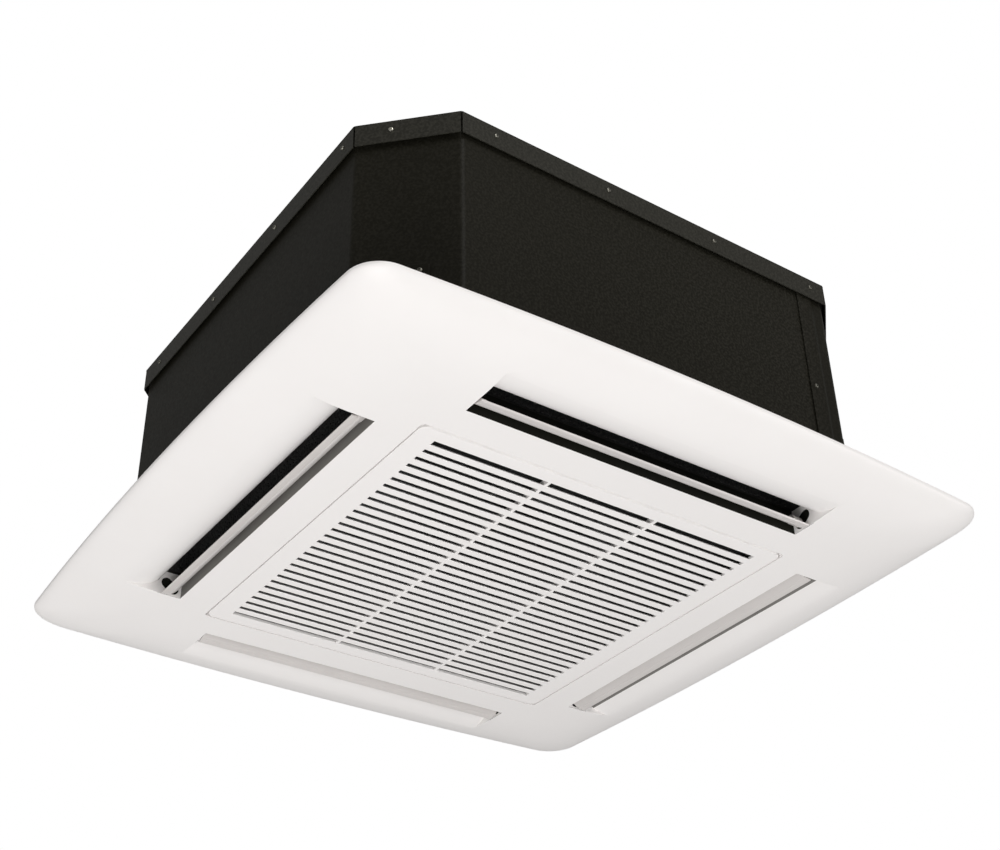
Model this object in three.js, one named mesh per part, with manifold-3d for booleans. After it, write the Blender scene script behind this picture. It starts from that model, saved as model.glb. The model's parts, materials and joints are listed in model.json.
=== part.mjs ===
// Four-way ceiling cassette air conditioner, compact size, seen from the room below.
// Units are millimetres and +Z is up. The origin is the centre of the fascia on the ceiling plane,
// so the casing stands above z = 0 and the moulded fascia hangs below it.
// Sides are named as a fitter would: right is +X, left is -X, back is +Y and front is -Y.
import * as THREE from 'three';
import { mergeVertices } from 'three/addons/utils/BufferGeometryUtils.js';
import Module from 'manifold-3d';

const wasm = await Module();
wasm.setup();

// ---------------------------------------------------------------- driving dimensions
const FIT = 0.3;                 // gap between seated faces
const RUNNING = 0.6;             // radial gap round a turning pin

// fascia
const PANEL_WIDTH = 700;         // over the bowed sides
const EDGE_BOW = 11.5;           // how far each side bows out in plan
const RIM_RADIUS = 31;           // plan radius of the corners
const PANEL_DEPTH = 25;          // ceiling plane down to the flat of the fascia
const SKIN = 2.5;                // moulded wall
const BORDER_FALL = 105;         // width over which the border falls away from the flat

// intake grille and filter
const OPENING_BORDER = 146.5;     // fascia's edge to the intake opening
const OPENING_RADIUS = 4;
const GRILLE_GAP = 1.5;
const GRILLE_RADIUS = 8.25;      // rounder than the opening, so its corners clear when it swings
const GRILLE_PLATE = 3.5;
const GRILLE_HEIGHT = 11;
const GRILLE_WALL = 4;
const SLOT_PITCH = 13;
const SLOT_SIDE_MARGIN = 10;     // grille's edge to the first slot
const SLOT_END_MARGIN = 21;      // grille's edge to the ends of the slots
const SLAT_FACE = 4.6;           // slat width on the room side
const SLAT_TAPER = 1.0;          // how much narrower a slat is at its back
const CROSS_RIB = 2.6;
const CROSS_RIB_HEIGHT = 3.2;
const LEDGE_THICKNESS = 2.2;
const LEDGE_WIDTH = 6.5;
const HINGE_PIN_RADIUS = 1.5;
const HINGE_INSET = 2.5;         // hinge axis in from the grille's edge
const HINGE_LIFT = 3.2;          // hinge axis above the fascia's flat
const SWING_CHAMFER = 1.2;       // taken off the grille's two long edges beside its hinge
const TAB_WIDTH = 16;
const TAB_THICKNESS = 2;
const TAB_HEIGHT = 10;
const TAB_SPREAD = 120;
const CLIP_SHEET = 1.2;
const CLIP_GRIP = 0.5;           // play between the clip and the tab
const CLIP_MARGIN = 4;           // clip past each end of the tab
const FILTER_PLAY = 3;           // filter's edge to the grille's wall
const FILTER_HEIGHT = 4;
const FILTER_RIM = 8;
const FILTER_BAR = 3;
const FILTER_CELLS = 4;

// air outlets
const OUTLET_SETBACK = 35;       // intake opening to the inner edge of each outlet
const OUTLET_THROAT = 22.5;
const OUTLET_CORNER = 54.5;      // each outlet's end to its neighbour's inner edge
const SCOOP_REACH = 59.5;        // inner edge to the tip of the scooped lip
const SCOOP_TOP = 4.7;           // depth at which the scoop turns upright
const VANE_PIVOT_IN = 8.5;       // pivot from the outlet's inner edge
const VANE_PIVOT_DEPTH = 17;
const VANE_INNER_REACH = 7.8;
const VANE_OUTER_REACH = 15;
const VANE_THICKNESS = 2.4;
const VANE_EDGE = 1.1;
const VANE_CAMBER = 1.8;
const VANE_REST_ANGLE = 35;      // degrees below the horizontal
const VANE_END_GAP = 1.5;
const VANE_PIN_RADIUS = 2.5;
const VANE_SOCKET_DEPTH = 8;
const VANE_BOSS_RADIUS = 4.6;
const STEPPER_RADIUS = 10;
const STEPPER_LENGTH = 14;
const STEPPER_OFFSET = 5.5;      // motor axis above its output shaft
const STEPPER_EAR_SPREAD = 13;
const STEPPER_EAR_RADIUS = 3.5;

// casing
const CASING_MARGIN = 25;        // outlet's outer edge to the casing
const CASING_CHAMFER = 68.3;
const CASING_TOP = 254;
const SHEET = 1.2;
const BEND_RADIUS = 5;
const CASING_BOTTOM = 3.5;
const SEAM_OVERLAP = 34.7;       // overlapping sheet past the casing's chamfered corner
const SERVICE_ROOM = 6;          // how far the cuts for pipes reach past the wall
const JOGGLE_RUN = 3.5;          // length over which it steps out over the other sheet
const LID_FLANGE = 25;
const LID_RECESS_MARGIN = 3;     // lid's dished middle past the motor's straps
const LID_RECESS_DEPTH = 4;
const LINER = 8;
const SEAL_THICKNESS = 2.6;

// drain pan, coil and bell mouth
const PAN_TOP = 60;
const PAN_FLOOR = 34;
const TROUGH_HALF_WIDTH = 17;
const SUMP_DEPTH = 6;
const COIL_SETBACK = 83;         // casing to the middle of the coil
const COIL_THICKNESS = 24;
const COIL_HEADROOM = 14;
const COIL_RADIUS = 42;
const COIL_CORNER_GAP = 73;      // room the coil leaves in the corner with the pipes
const END_PLATE = 1.5;
const END_PLATE_LIP = 2;
const TUBE_PITCH = 21;
const TUBE_RADIUS = 3.6;
const BEND_PAIRS = 4;
const BEND_REACH = 13;
const MOUTH_SETBACK = 64.5;      // intake opening to the bell mouth's flange
const MOUTH_SEAT = 8;            // width of the flange over the pan's hole
const MOUTH_FLARE = 31;          // pan's hole to the throat
const MOUTH_HEIGHT = 46;
const MOUTH_WALL = 2;

// fan and motor
const FAN_DEPTH = 46;            // fan's eye to its rim
const FAN_OVERLAP = 4;           // play round the bell mouth's throat
const FAN_BOTTOM = 42;
const FAN_SHROUD_TOP = 68;
const FAN_WALL = 2.4;
const FAN_BLADES = 7;
const FAN_SIDES = 30;            // facets round the fan
const BLADE_LEAD = 12;           // blade's inner end inside the fan's eye
const BLADE_SETBACK = 3;         // blade's outer end in from the fan's rim
const BLADE_THICKNESS = 6;
const BLADE_TIP = 1.2;           // thickness at both ends
const BLADE_SWEEP = 42;          // degrees between a blade's two ends
const SHROUD_STEP = 6;
const HUB_RADIUS = 56;
const HUB_DOME = 5;
const HUB_SHOULDER = 18;
const HUB_FOOT = 8;
const BOSS_RADIUS = 14;
const BOSS_LENGTH = 16;
const SHAFT_RADIUS = 4;
const NUT_ACROSS = 8;
const NUT_HEIGHT = 6;
const NUT_WASHER = 10;
const MOTOR_RADIUS = 46;
const MOTOR_LENGTH = 80;
const MOTOR_HEADROOM = 40;       // motor's top below the lid
const MOTOR_NECK = 20;           // radius of the boss round the shaft
const MOTOR_NECK_HEIGHT = 7;
const MOTOR_SHOULDER = 22;
const MOTOR_ROUND = 6;
const MOTOR_EAR_DROP = 14;       // ears below the motor's top
const BACK_DROP = 38;            // fan's back plate below the motor's top
const HUB_DROP = 20;             // hub's underside below the motor
const EAR_COUNT = 3;
const EAR_OFFSET = 12;           // each ear's centre out from the motor's can
const EAR_RADIUS = 9;
const EAR_THICKNESS = 3;
const ISOLATOR_RADIUS = 7;
const ISOLATOR_HEIGHT = 7;
const ISOLATOR_WAIST = 1.6;
const ISOLATOR_LIP = 2;
const BRACKET_SHEET = 2;
const STRAP_HALF = 12;
const STRAP_FOOT = 8;

// services
const GAS_RADIUS = 6.35;
const LIQUID_RADIUS = 3.2;
const GAS_INSET = 118;           // pipe in from the casing's side
const GAS_DROP = 50;             // pipe below the lid
const LIQUID_INSET = 146;
const LIQUID_DROP = 100;
const PIPE_REACH = 36;           // pipe end beyond the casing
const PIPE_STUB = 10;            // first straight run out of the coil
const PIPE_RISE = 16;            // how far a pipe sinks between the coil and its exit
const NUT_LENGTH = 16;
const NUT_FLATS = 1.75;          // nut's corner radius in pipe radii
const PLATE_MARGIN = 14;
const DRAIN_RADIUS = 12.5;
const DRAIN_INSET = 118;
const DRAIN_DROP = 68;
const DRAIN_WALL = 2;
const DRAIN_REACH = 34;
const DRAIN_COLLAR = 4;
const PUMP_INSET = 103;          // pump in from the casing's sides
const PUMP_RADIUS = 22;
const PUMP_SUCTION = 8;
const PUMP_HEIGHT = 70;
const PUMP_HOUSING_HEIGHT = 16;
const PUMP_STEP = 4;
const NIPPLE_RADIUS = 5;
const NIPPLE_REACH = 8;
const HOSE_RADIUS = 7;
const FLOAT_RADIUS = 7;
const FLOAT_FROM_COIL = 22;
const GROMMET_PLACE = [60, 120]; // y and z on the left side
const GROMMET_RADIUS = 11;
const GROMMET_LIP = 3;
const BOX_LENGTH = 250;
const BOX_SETBACK = 8.5;         // intake opening to the box's front
const BOX_WIDTH = 52;
const BOX_BOTTOM = -9;
const BOX_TOP = 30.4;
const BOX_SHEET = 1.2;
const BOX_RIM = 5;
const CABLE_HOLE = 5;
const TERMINAL_GAP = 10;         // circuit board to the terminal block
const TERMINAL_PITCH = 11;
const TERMINAL_COUNT = 6;
const TERMINAL_HALF = 12;
const TERMINAL_HEIGHT = 12;
const BOARD_GAP = 13;            // box's end to the circuit board
const BOARD_LENGTH = 132;
const BOARD_HALF = 20;
const BOARD_LIFT = 6;
const BOARD_SHEET = 1.6;
const THERMISTOR_INSET = [44.5, 81.5]; // in from the opening's right and back edges
const THERMISTOR_CLIP = [18, 8, 4];
const THERMISTOR_BULB = 2.4;
const EAR_LEVEL = 40;            // height of the hanging ears
const HANGER_WIDTH = 40;
const HANGER_EAR = 42;
const HANGER_LEG = 46;
const HANGER_SHEET = 2.5;
const GUSSET_REACH = 0.7;        // shares of the ear and the leg
const GUSSET_RISE = 0.65;
const ROD_SLOT = 12;
const ROD_SLOT_LENGTH = 22;
const ROD_EDGE = 8;              // slot to the ear's tip

// ---------------------------------------------------------------- derived sizes
const FLAT = -PANEL_DEPTH;
const PANEL_HALF = PANEL_WIDTH / 2;
const OPENING_HALF = PANEL_HALF - OPENING_BORDER;
const GRILLE_HALF = OPENING_HALF - GRILLE_GAP;
const SLOT_COUNT = Math.floor((2 * (GRILLE_HALF - SLOT_SIDE_MARGIN)) / SLOT_PITCH);
const SLOT_HALF_LENGTH = GRILLE_HALF - SLOT_END_MARGIN;
const FILTER_HALF = GRILLE_HALF - GRILLE_WALL - FILTER_PLAY;
const GRILLE_TOP = FLAT + GRILLE_HEIGHT;
const LEDGE_BOTTOM = GRILLE_TOP + FIT;
const LEDGE_TOP = LEDGE_BOTTOM + LEDGE_THICKNESS;
const PLATE_BACK = FLAT + GRILLE_PLATE;
const FILTER_BOTTOM = PLATE_BACK + CROSS_RIB_HEIGHT + FIT;
const OUTLET_INNER = OPENING_HALF + OUTLET_SETBACK;
const OUTLET_OUTER = OUTLET_INNER + OUTLET_THROAT;
const OUTLET_HALF_LENGTH = OUTLET_INNER - OUTLET_CORNER;
const VANE_AXIS = OUTLET_INNER + VANE_PIVOT_IN;
const VANE_HALF_LENGTH = OUTLET_HALF_LENGTH - VANE_END_GAP;
const SEAL_BOTTOM = FIT;
const PAN_BOTTOM = SEAL_BOTTOM + SEAL_THICKNESS + FIT;
const CASING_HALF = OUTLET_OUTER + CASING_MARGIN;
const PAN_HALF = CASING_HALF - SHEET - FIT;
const LID_BOTTOM = CASING_TOP - SHEET;
const SUMP_FLOOR = PAN_FLOOR - SUMP_DEPTH;
const COIL_CENTRE = CASING_HALF - COIL_SETBACK;
const COIL_END = COIL_CENTRE - COIL_CORNER_GAP;
const COIL_BOTTOM = PAN_FLOOR + FIT;
const COIL_TOP = CASING_TOP - COIL_HEADROOM;
const COIL_INNER = COIL_CENTRE - COIL_THICKNESS / 2;
const COIL_OUTER = COIL_CENTRE + COIL_THICKNESS / 2;
const LINER_INNER = PAN_HALF - LINER;
const MOUTH_FLANGE = OPENING_HALF - MOUTH_SETBACK;
const MOUTH_HOLE = MOUTH_FLANGE - MOUTH_SEAT;
const MOUTH_THROAT = MOUTH_HOLE - MOUTH_FLARE;
const FAN_INLET = MOUTH_THROAT + FAN_OVERLAP;
const FAN_RADIUS = FAN_INLET + FAN_DEPTH;
const EAR_CIRCLE = MOTOR_RADIUS + EAR_OFFSET;
const STRAP_TOE = EAR_CIRCLE + EAR_RADIUS + 2 * STRAP_FOOT + BRACKET_SHEET;
const LID_RECESS_RADIUS = STRAP_TOE + LID_RECESS_MARGIN;
const MOTOR_TOP = CASING_TOP - MOTOR_HEADROOM;
const MOTOR_BOTTOM = MOTOR_TOP - MOTOR_LENGTH;
const MOTOR_EAR_LEVEL = MOTOR_TOP - MOTOR_EAR_DROP;
const FAN_BACK = MOTOR_TOP - BACK_DROP;
const HUB_BOTTOM = MOTOR_BOTTOM - HUB_DROP;
const BOSS_END = HUB_BOTTOM - BOSS_LENGTH / 2;
const BLADE_INNER = FAN_INLET - BLADE_LEAD;
const MID_BLADE_ANGLE = BLADE_SWEEP / 2;
const GAS_EXIT = [GAS_INSET - CASING_HALF, CASING_TOP - GAS_DROP];
const LIQUID_EXIT = [LIQUID_INSET - CASING_HALF, CASING_TOP - LIQUID_DROP];
const DRAIN_EXIT = [CASING_HALF - DRAIN_INSET, CASING_TOP - DRAIN_DROP];
const PUMP_PLACE = [PUMP_INSET - CASING_HALF, CASING_HALF - PUMP_INSET];
const FLOAT_PLACE = [-COIL_CENTRE - 3, COIL_END + FLOAT_FROM_COIL];
const BOX_FRONT = BOX_SETBACK - OPENING_HALF;
const BOX_BACK = BOX_FRONT + BOX_WIDTH;
const BOARD_START = BOARD_GAP - BOX_LENGTH / 2;
const BOARD_END = BOARD_START + BOARD_LENGTH;
const TERMINAL_START = BOARD_END + TERMINAL_GAP;
const FULL_TURN = Math.PI * 2;

// ---------------------------------------------------------------- materials
function finish(color, roughness, metalness = 0) {
  return new THREE.MeshStandardMaterial({ color, roughness, metalness });
}
const FASCIA_WHITE = finish(0xf4f1ec, 0.45);
const GRILLE_WHITE = finish(0xf6f3ee, 0.5);
const FILTER_MESH = finish(0x2c2d2f, 0.8);
const VANE_GREY = finish(0xcfcbc6, 0.35);
const BLACK_SHEET = finish(0x23231d, 0.75, 0.2);
const DARK_FOAM = finish(0x2a2a28, 0.95);
const EPS_BLACK = finish(0x2b2b2a, 0.9);
const FLOAT_GREY = finish(0xc9c9c4, 0.7);
const MOULDED_GREY = finish(0x8f9290, 0.55);
const FAN_GREY = finish(0x5d6264, 0.5);
const FIN_ALUMINIUM = finish(0xb9bdc0, 0.4, 0.9);
const COPPER = finish(0xb56a3c, 0.35, 1);
const BRASS = finish(0xc2a050, 0.35, 1);
const ZINC = finish(0xa9adaf, 0.45, 0.9);
const RUBBER = finish(0x1d1d1d, 0.9);
const STEPPER_STEEL = finish(0xb4b7b8, 0.4, 0.8);
const TERMINAL_CREAM = finish(0xd8d2bd, 0.6);

// ---------------------------------------------------------------- geometry helpers
function facesOut(geometry) {
  const bare = geometry.clone();
  bare.deleteAttribute('normal');
  bare.deleteAttribute('uv');
  const welded = mergeVertices(bare, 1e-4);
  const place = welded.attributes.position;
  const index = Array.from(welded.index.array);
  const [a, b, c] = [new THREE.Vector3(), new THREE.Vector3(), new THREE.Vector3()];
  let volume = 0;
  for (let i = 0; i < index.length; i += 3) {
    a.fromBufferAttribute(place, index[i]);
    b.fromBufferAttribute(place, index[i + 1]);
    c.fromBufferAttribute(place, index[i + 2]);
    volume += a.dot(b.cross(c));
  }
  if (volume < 0) index.reverse();
  welded.setIndex(index);
  return welded;
}

function solid(geometry) {
  const welded = facesOut(geometry);
  return new wasm.Manifold(new wasm.Mesh({
    numProp: 3,
    vertProperties: new Float32Array(welded.attributes.position.array),
    triVerts: new Uint32Array(welded.index.array),
  }));
}

function surface(manifold) {
  const mesh = manifold.getMesh();
  const geometry = new THREE.BufferGeometry();
  geometry.setAttribute('position', new THREE.BufferAttribute(new Float32Array(mesh.vertProperties), 3));
  geometry.setIndex(Array.from(mesh.triVerts));
  return geometry;
}

// Joins the first list of shapes and cuts the second list out of them.
function carve(joined, cut = []) {
  let body = solid(joined[0]);
  for (const piece of joined.slice(1)) body = body.add(solid(piece));
  for (const piece of cut) body = body.subtract(solid(piece));
  return surface(body);
}

function shapeOf(points) {
  return new THREE.Shape(points.map(([x, y]) => new THREE.Vector2(x, y)));
}

function prism(shape, bottom, top, curveSegments = 3) {
  const settings = { depth: top - bottom, bevelEnabled: false, curveSegments };
  return new THREE.ExtrudeGeometry(shape, settings).translate(0, 0, bottom);
}

function box(x0, x1, y0, y1, z0, z1) {
  const geometry = new THREE.BoxGeometry(x1 - x0, y1 - y0, z1 - z0);
  return geometry.translate((x0 + x1) / 2, (y0 + y1) / 2, (z0 + z1) / 2);
}

function post(radius, bottom, top, sides, x = 0, y = 0) {
  const geometry = new THREE.CylinderGeometry(radius, radius, top - bottom, sides);
  return geometry.rotateX(Math.PI / 2).translate(x, y, (bottom + top) / 2);
}

// A pin lying along Y, or along X when it is turned.
function pinAlongY(radius, y0, y1, sides, x, z) {
  const geometry = new THREE.CylinderGeometry(radius, radius, y1 - y0, sides);
  return geometry.translate(x, (y0 + y1) / 2, z);
}

function pinAlongX(radius, x0, x1, sides, y, z) {
  const geometry = new THREE.CylinderGeometry(radius, radius, x1 - x0, sides);
  return geometry.rotateZ(Math.PI / 2).translate((x0 + x1) / 2, y, z);
}

function lathe(profile, sides) {
  const points = profile.map(([r, z]) => new THREE.Vector2(r, z));
  return new THREE.LatheGeometry(points, sides).rotateX(Math.PI / 2);
}

function quarter(geometry, turns) {
  return geometry.clone().rotateZ(turns * Math.PI / 2);
}

function allSides(geometry) {
  return [0, 1, 2, 3].map((turns) => quarter(geometry, turns));
}

function roundedSquare(half, radius) {
  const shape = new THREE.Shape();
  const inner = half - radius;
  shape.moveTo(half, -inner);
  shape.lineTo(half, inner);
  shape.absarc(inner, inner, radius, 0, Math.PI / 2);
  shape.lineTo(-inner, half);
  shape.absarc(-inner, inner, radius, Math.PI / 2, Math.PI);
  shape.lineTo(-half, -inner);
  shape.absarc(-inner, -inner, radius, Math.PI, Math.PI * 1.5);
  shape.lineTo(inner, -half);
  shape.absarc(inner, -inner, radius, Math.PI * 1.5, FULL_TURN);
  return shape;
}

function octagon(half) {
  const short = half - CASING_CHAMFER * (half / CASING_HALF);
  return [[half, -short], [half, short], [short, half], [-short, half],
    [-half, short], [-half, -short], [-short, -half], [short, -half]];
}

// Distance from the centre to the slanted side of an eight-sided outline.
function chamferDistance(half) {
  return half * (2 - CASING_CHAMFER / CASING_HALF) / Math.SQRT2;
}

// Rounds the inner corners of an open path with short arcs.
function bent(path, radius, steps = 3) {
  const out = [path[0]];
  for (let i = 1; i < path.length - 1; i += 1) {
    const corner = new THREE.Vector2(...path[i]);
    const back = new THREE.Vector2(...path[i - 1]).sub(corner).normalize();
    const ahead = new THREE.Vector2(...path[i + 1]).sub(corner).normalize();
    const half = Math.acos(back.dot(ahead)) / 2;
    const reach = radius / Math.tan(half);
    const curve = new THREE.QuadraticBezierCurve(
      corner.clone().addScaledVector(back, reach), corner, corner.clone().addScaledVector(ahead, reach));
    curve.getPoints(steps).forEach((p) => out.push([p.x, p.y]));
  }
  out.push(path[path.length - 1]);
  return out;
}

// The outline of a strip that follows an open path, its second edge `width` to the path's left.
function strip(path, width) {
  const left = path.map((point, i) => {
    const here = new THREE.Vector2(...point);
    const before = i > 0 ? here.clone().sub(new THREE.Vector2(...path[i - 1])).normalize() : null;
    const after = i < path.length - 1 ? new THREE.Vector2(...path[i + 1]).sub(here).normalize() : null;
    const first = before || after;
    const second = after || before;
    const normal = new THREE.Vector2(-first.y - second.y, first.x + second.x).normalize();
    const mitre = width / normal.dot(new THREE.Vector2(-first.y, first.x));
    return [here.x + normal.x * mitre, here.y + normal.y * mitre];
  });
  return shapeOf([...path, ...left.reverse()]);
}

function tube(points, radius, sides, steps) {
  const path = new THREE.CatmullRomCurve3(points.map((p) => new THREE.Vector3(...p)), false, 'centripetal');
  const ring = new THREE.Shape();
  for (let i = 0; i <= sides; i += 1) {
    const angle = (i / sides) * FULL_TURN;
    if (i === 0) ring.moveTo(radius, 0);
    else ring.lineTo(radius * Math.cos(angle), radius * Math.sin(angle));
  }
  return new THREE.ExtrudeGeometry(ring, { extrudePath: path, steps, bevelEnabled: false });
}

// Stacks closed rings of equal length into one closed solid.
function loft(rings) {
  const count = rings[0].points.length;
  const place = rings.flatMap(({ points, z }) => points.flatMap(([x, y]) => [x, y, z]));
  const index = [];
  for (let r = 0; r < rings.length - 1; r += 1) {
    for (let i = 0; i < count; i += 1) {
      const a = r * count + i;
      const b = r * count + (i + 1) % count;
      index.push(a, b, b + count, a, b + count, a + count);
    }
  }
  for (const r of [0, rings.length - 1]) {
    const flat = rings[r].points.map(([x, y]) => new THREE.Vector2(x, y));
    for (const [a, b, c] of THREE.ShapeUtils.triangulateShape(flat, [])) {
      const ring = r * count;
      if (r === 0) index.push(ring + c, ring + b, ring + a);
      else index.push(ring + a, ring + b, ring + c);
    }
  }
  const geometry = new THREE.BufferGeometry();
  geometry.setAttribute('position', new THREE.Float32BufferAttribute(place, 3));
  geometry.setIndex(index);
  return geometry;
}

// ---------------------------------------------------------------- fascia
// Plan outline of the fascia, `inset` in from its edge: four bowed sides with rounded corners.
const BOW_STEPS = 4;
const CORNER_STEPS = 4;
function fasciaOutline(inset) {
  const bow = EDGE_BOW * Math.max(0, 1 - inset / BORDER_FALL);
  const half = PANEL_HALF - inset - bow;
  const radius = RIM_RADIUS + inset * 0.3;
  let centre = half - radius;
  let tilt = 0;
  for (let i = 0; i < 8; i += 1) {
    const y = centre + radius * Math.sin(tilt);
    tilt = Math.atan((2 * bow * y) / (half * half));
    centre = half + bow * (1 - (y / half) ** 2) - radius * Math.cos(tilt);
  }
  const reach = centre + radius * Math.sin(tilt);
  const side = [];
  for (let i = 0; i < BOW_STEPS; i += 1) {
    const y = -reach + (2 * reach * i) / BOW_STEPS;
    side.push([half + bow * (1 - (y / half) ** 2), y]);
  }
  for (let i = 0; i < CORNER_STEPS; i += 1) {
    const angle = tilt + ((Math.PI / 2 - 2 * tilt) * i) / CORNER_STEPS;
    side.push([centre + radius * Math.cos(angle), centre + radius * Math.sin(angle)]);
  }
  return [0, 1, 2, 3].flatMap((turns) => side.map(([x, y]) => {
    if (turns === 0) return [x, y];
    if (turns === 1) return [-y, x];
    if (turns === 2) return [-x, -y];
    return [y, -x];
  }));
}

// Height of the border's surface at an inset from the edge: a low rounded fall to the flat.
const RIM_LIP = 2;
function borderHeight(inset) {
  const t = Math.min(1, inset / BORDER_FALL);
  return -RIM_LIP - (PANEL_DEPTH - RIM_LIP) * (1 - (1 - t) ** 2.6) ** 0.62;
}

const BORDER_STEPS = [0, 0.8, 3.5, 10, 24, 48, 76, BORDER_FALL];
function fasciaSolid(wall) {
  const rings = [{ points: fasciaOutline(wall), z: wall > 0 ? wall : 0 }];
  for (const inset of BORDER_STEPS) {
    rings.push({ points: fasciaOutline(inset + wall), z: borderHeight(inset) + wall });
  }
  return loft(rings.reverse());
}

// Outlet section in (distance from centre, height), with the scooped outer lip, grown by `grow`.
const SCOOP_STEPS = 5;
function outletSection(grow, top) {
  const reach = OUTLET_INNER + SCOOP_REACH;
  const tipHeight = borderHeight(PANEL_HALF - reach);
  const points = [[OUTLET_INNER - grow, top], [OUTLET_INNER - grow, FLAT - 1], [reach + grow, FLAT - 1]];
  for (let i = 0; i <= SCOOP_STEPS; i += 1) {
    const angle = (Math.PI / 2) * (1 - i / SCOOP_STEPS);
    const r = reach - (SCOOP_REACH - OUTLET_THROAT) * Math.cos(angle);
    const z = -SCOOP_TOP + (tipHeight + SCOOP_TOP) * Math.sin(angle);
    points.push([r + grow * Math.cos(angle), z + grow * Math.sin(angle)]);
  }
  points.push([OUTLET_OUTER + grow, top]);
  return points;
}

// A prism along Y from a section in the XZ plane.
function alongY(section, y0, y1) {
  const geometry = prism(shapeOf(section), y0, y1);
  return geometry.applyMatrix4(new THREE.Matrix4().set(1, 0, 0, 0, 0, 0, 1, 0, 0, 1, 0, 0, 0, 0, 0, 1));
}

function grilleHingeAxis() {
  return { x: GRILLE_HALF - HINGE_INSET, z: FLAT + HINGE_LIFT };
}

function ledgeShape() {
  const shape = roundedSquare(OPENING_HALF + 1, OPENING_RADIUS + 1);
  shape.holes.push(roundedSquare(OPENING_HALF - LEDGE_WIDTH, OPENING_RADIUS / 2));
  return shape;
}

function fasciaPanel() {
  const outer = solid(fasciaSolid(0));
  const hollow = solid(fasciaSolid(SKIN));
  let panel = outer.subtract(hollow);
  const collar = prism(roundedSquare(OPENING_HALF + SKIN, OPENING_RADIUS + SKIN), FLAT - 1, 0);
  panel = panel.add(solid(collar).intersect(outer));
  const duct = alongY(outletSection(SKIN, 0), -OUTLET_HALF_LENGTH - SKIN, OUTLET_HALF_LENGTH + SKIN);
  for (const block of allSides(duct)) panel = panel.add(solid(block).intersect(outer));
  panel = panel.subtract(solid(prism(roundedSquare(OPENING_HALF, OPENING_RADIUS), FLAT - 2, 2)));
  const air = alongY(outletSection(0, 2), -OUTLET_HALF_LENGTH, OUTLET_HALF_LENGTH);
  const bore = pinAlongY(VANE_PIN_RADIUS + RUNNING, -OUTLET_HALF_LENGTH - SKIN - 1,
    OUTLET_HALF_LENGTH + SKIN + 1, 12, VANE_AXIS, -VANE_PIVOT_DEPTH);
  for (const cut of [...allSides(air), ...allSides(bore)]) panel = panel.subtract(solid(cut));
  panel = panel.add(solid(prism(ledgeShape(), LEDGE_BOTTOM, LEDGE_TOP)));
  for (const y of [-TAB_SPREAD, TAB_SPREAD]) {
    panel = panel.subtract(solid(box(-OPENING_HALF, -OPENING_HALF + LEDGE_WIDTH - GRILLE_GAP,
      y - TAB_WIDTH / 2 - 2, y + TAB_WIDTH / 2 + 2, LEDGE_BOTTOM - 1, LEDGE_TOP + 1)));
  }
  const { x, z } = grilleHingeAxis();
  const reach = OPENING_HALF + SKIN + 1;
  panel = panel.subtract(solid(pinAlongY(HINGE_PIN_RADIUS + RUNNING, -reach, reach, 10, x, z)));
  return surface(panel);
}

function foamSeal() {
  const shape = roundedSquare(OUTLET_OUTER + LINER, CASING_CHAMFER / 2);
  shape.holes.push(roundedSquare(OPENING_HALF + SKIN / 2, OPENING_RADIUS));
  const slot = box(OUTLET_INNER - SKIN / 2, OUTLET_OUTER + SKIN / 2,
    -OUTLET_HALF_LENGTH, OUTLET_HALF_LENGTH, SEAL_BOTTOM - 1, SEAL_BOTTOM + SEAL_THICKNESS + 1);
  return carve([prism(shape, SEAL_BOTTOM, SEAL_BOTTOM + SEAL_THICKNESS)], allSides(slot));
}

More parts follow.
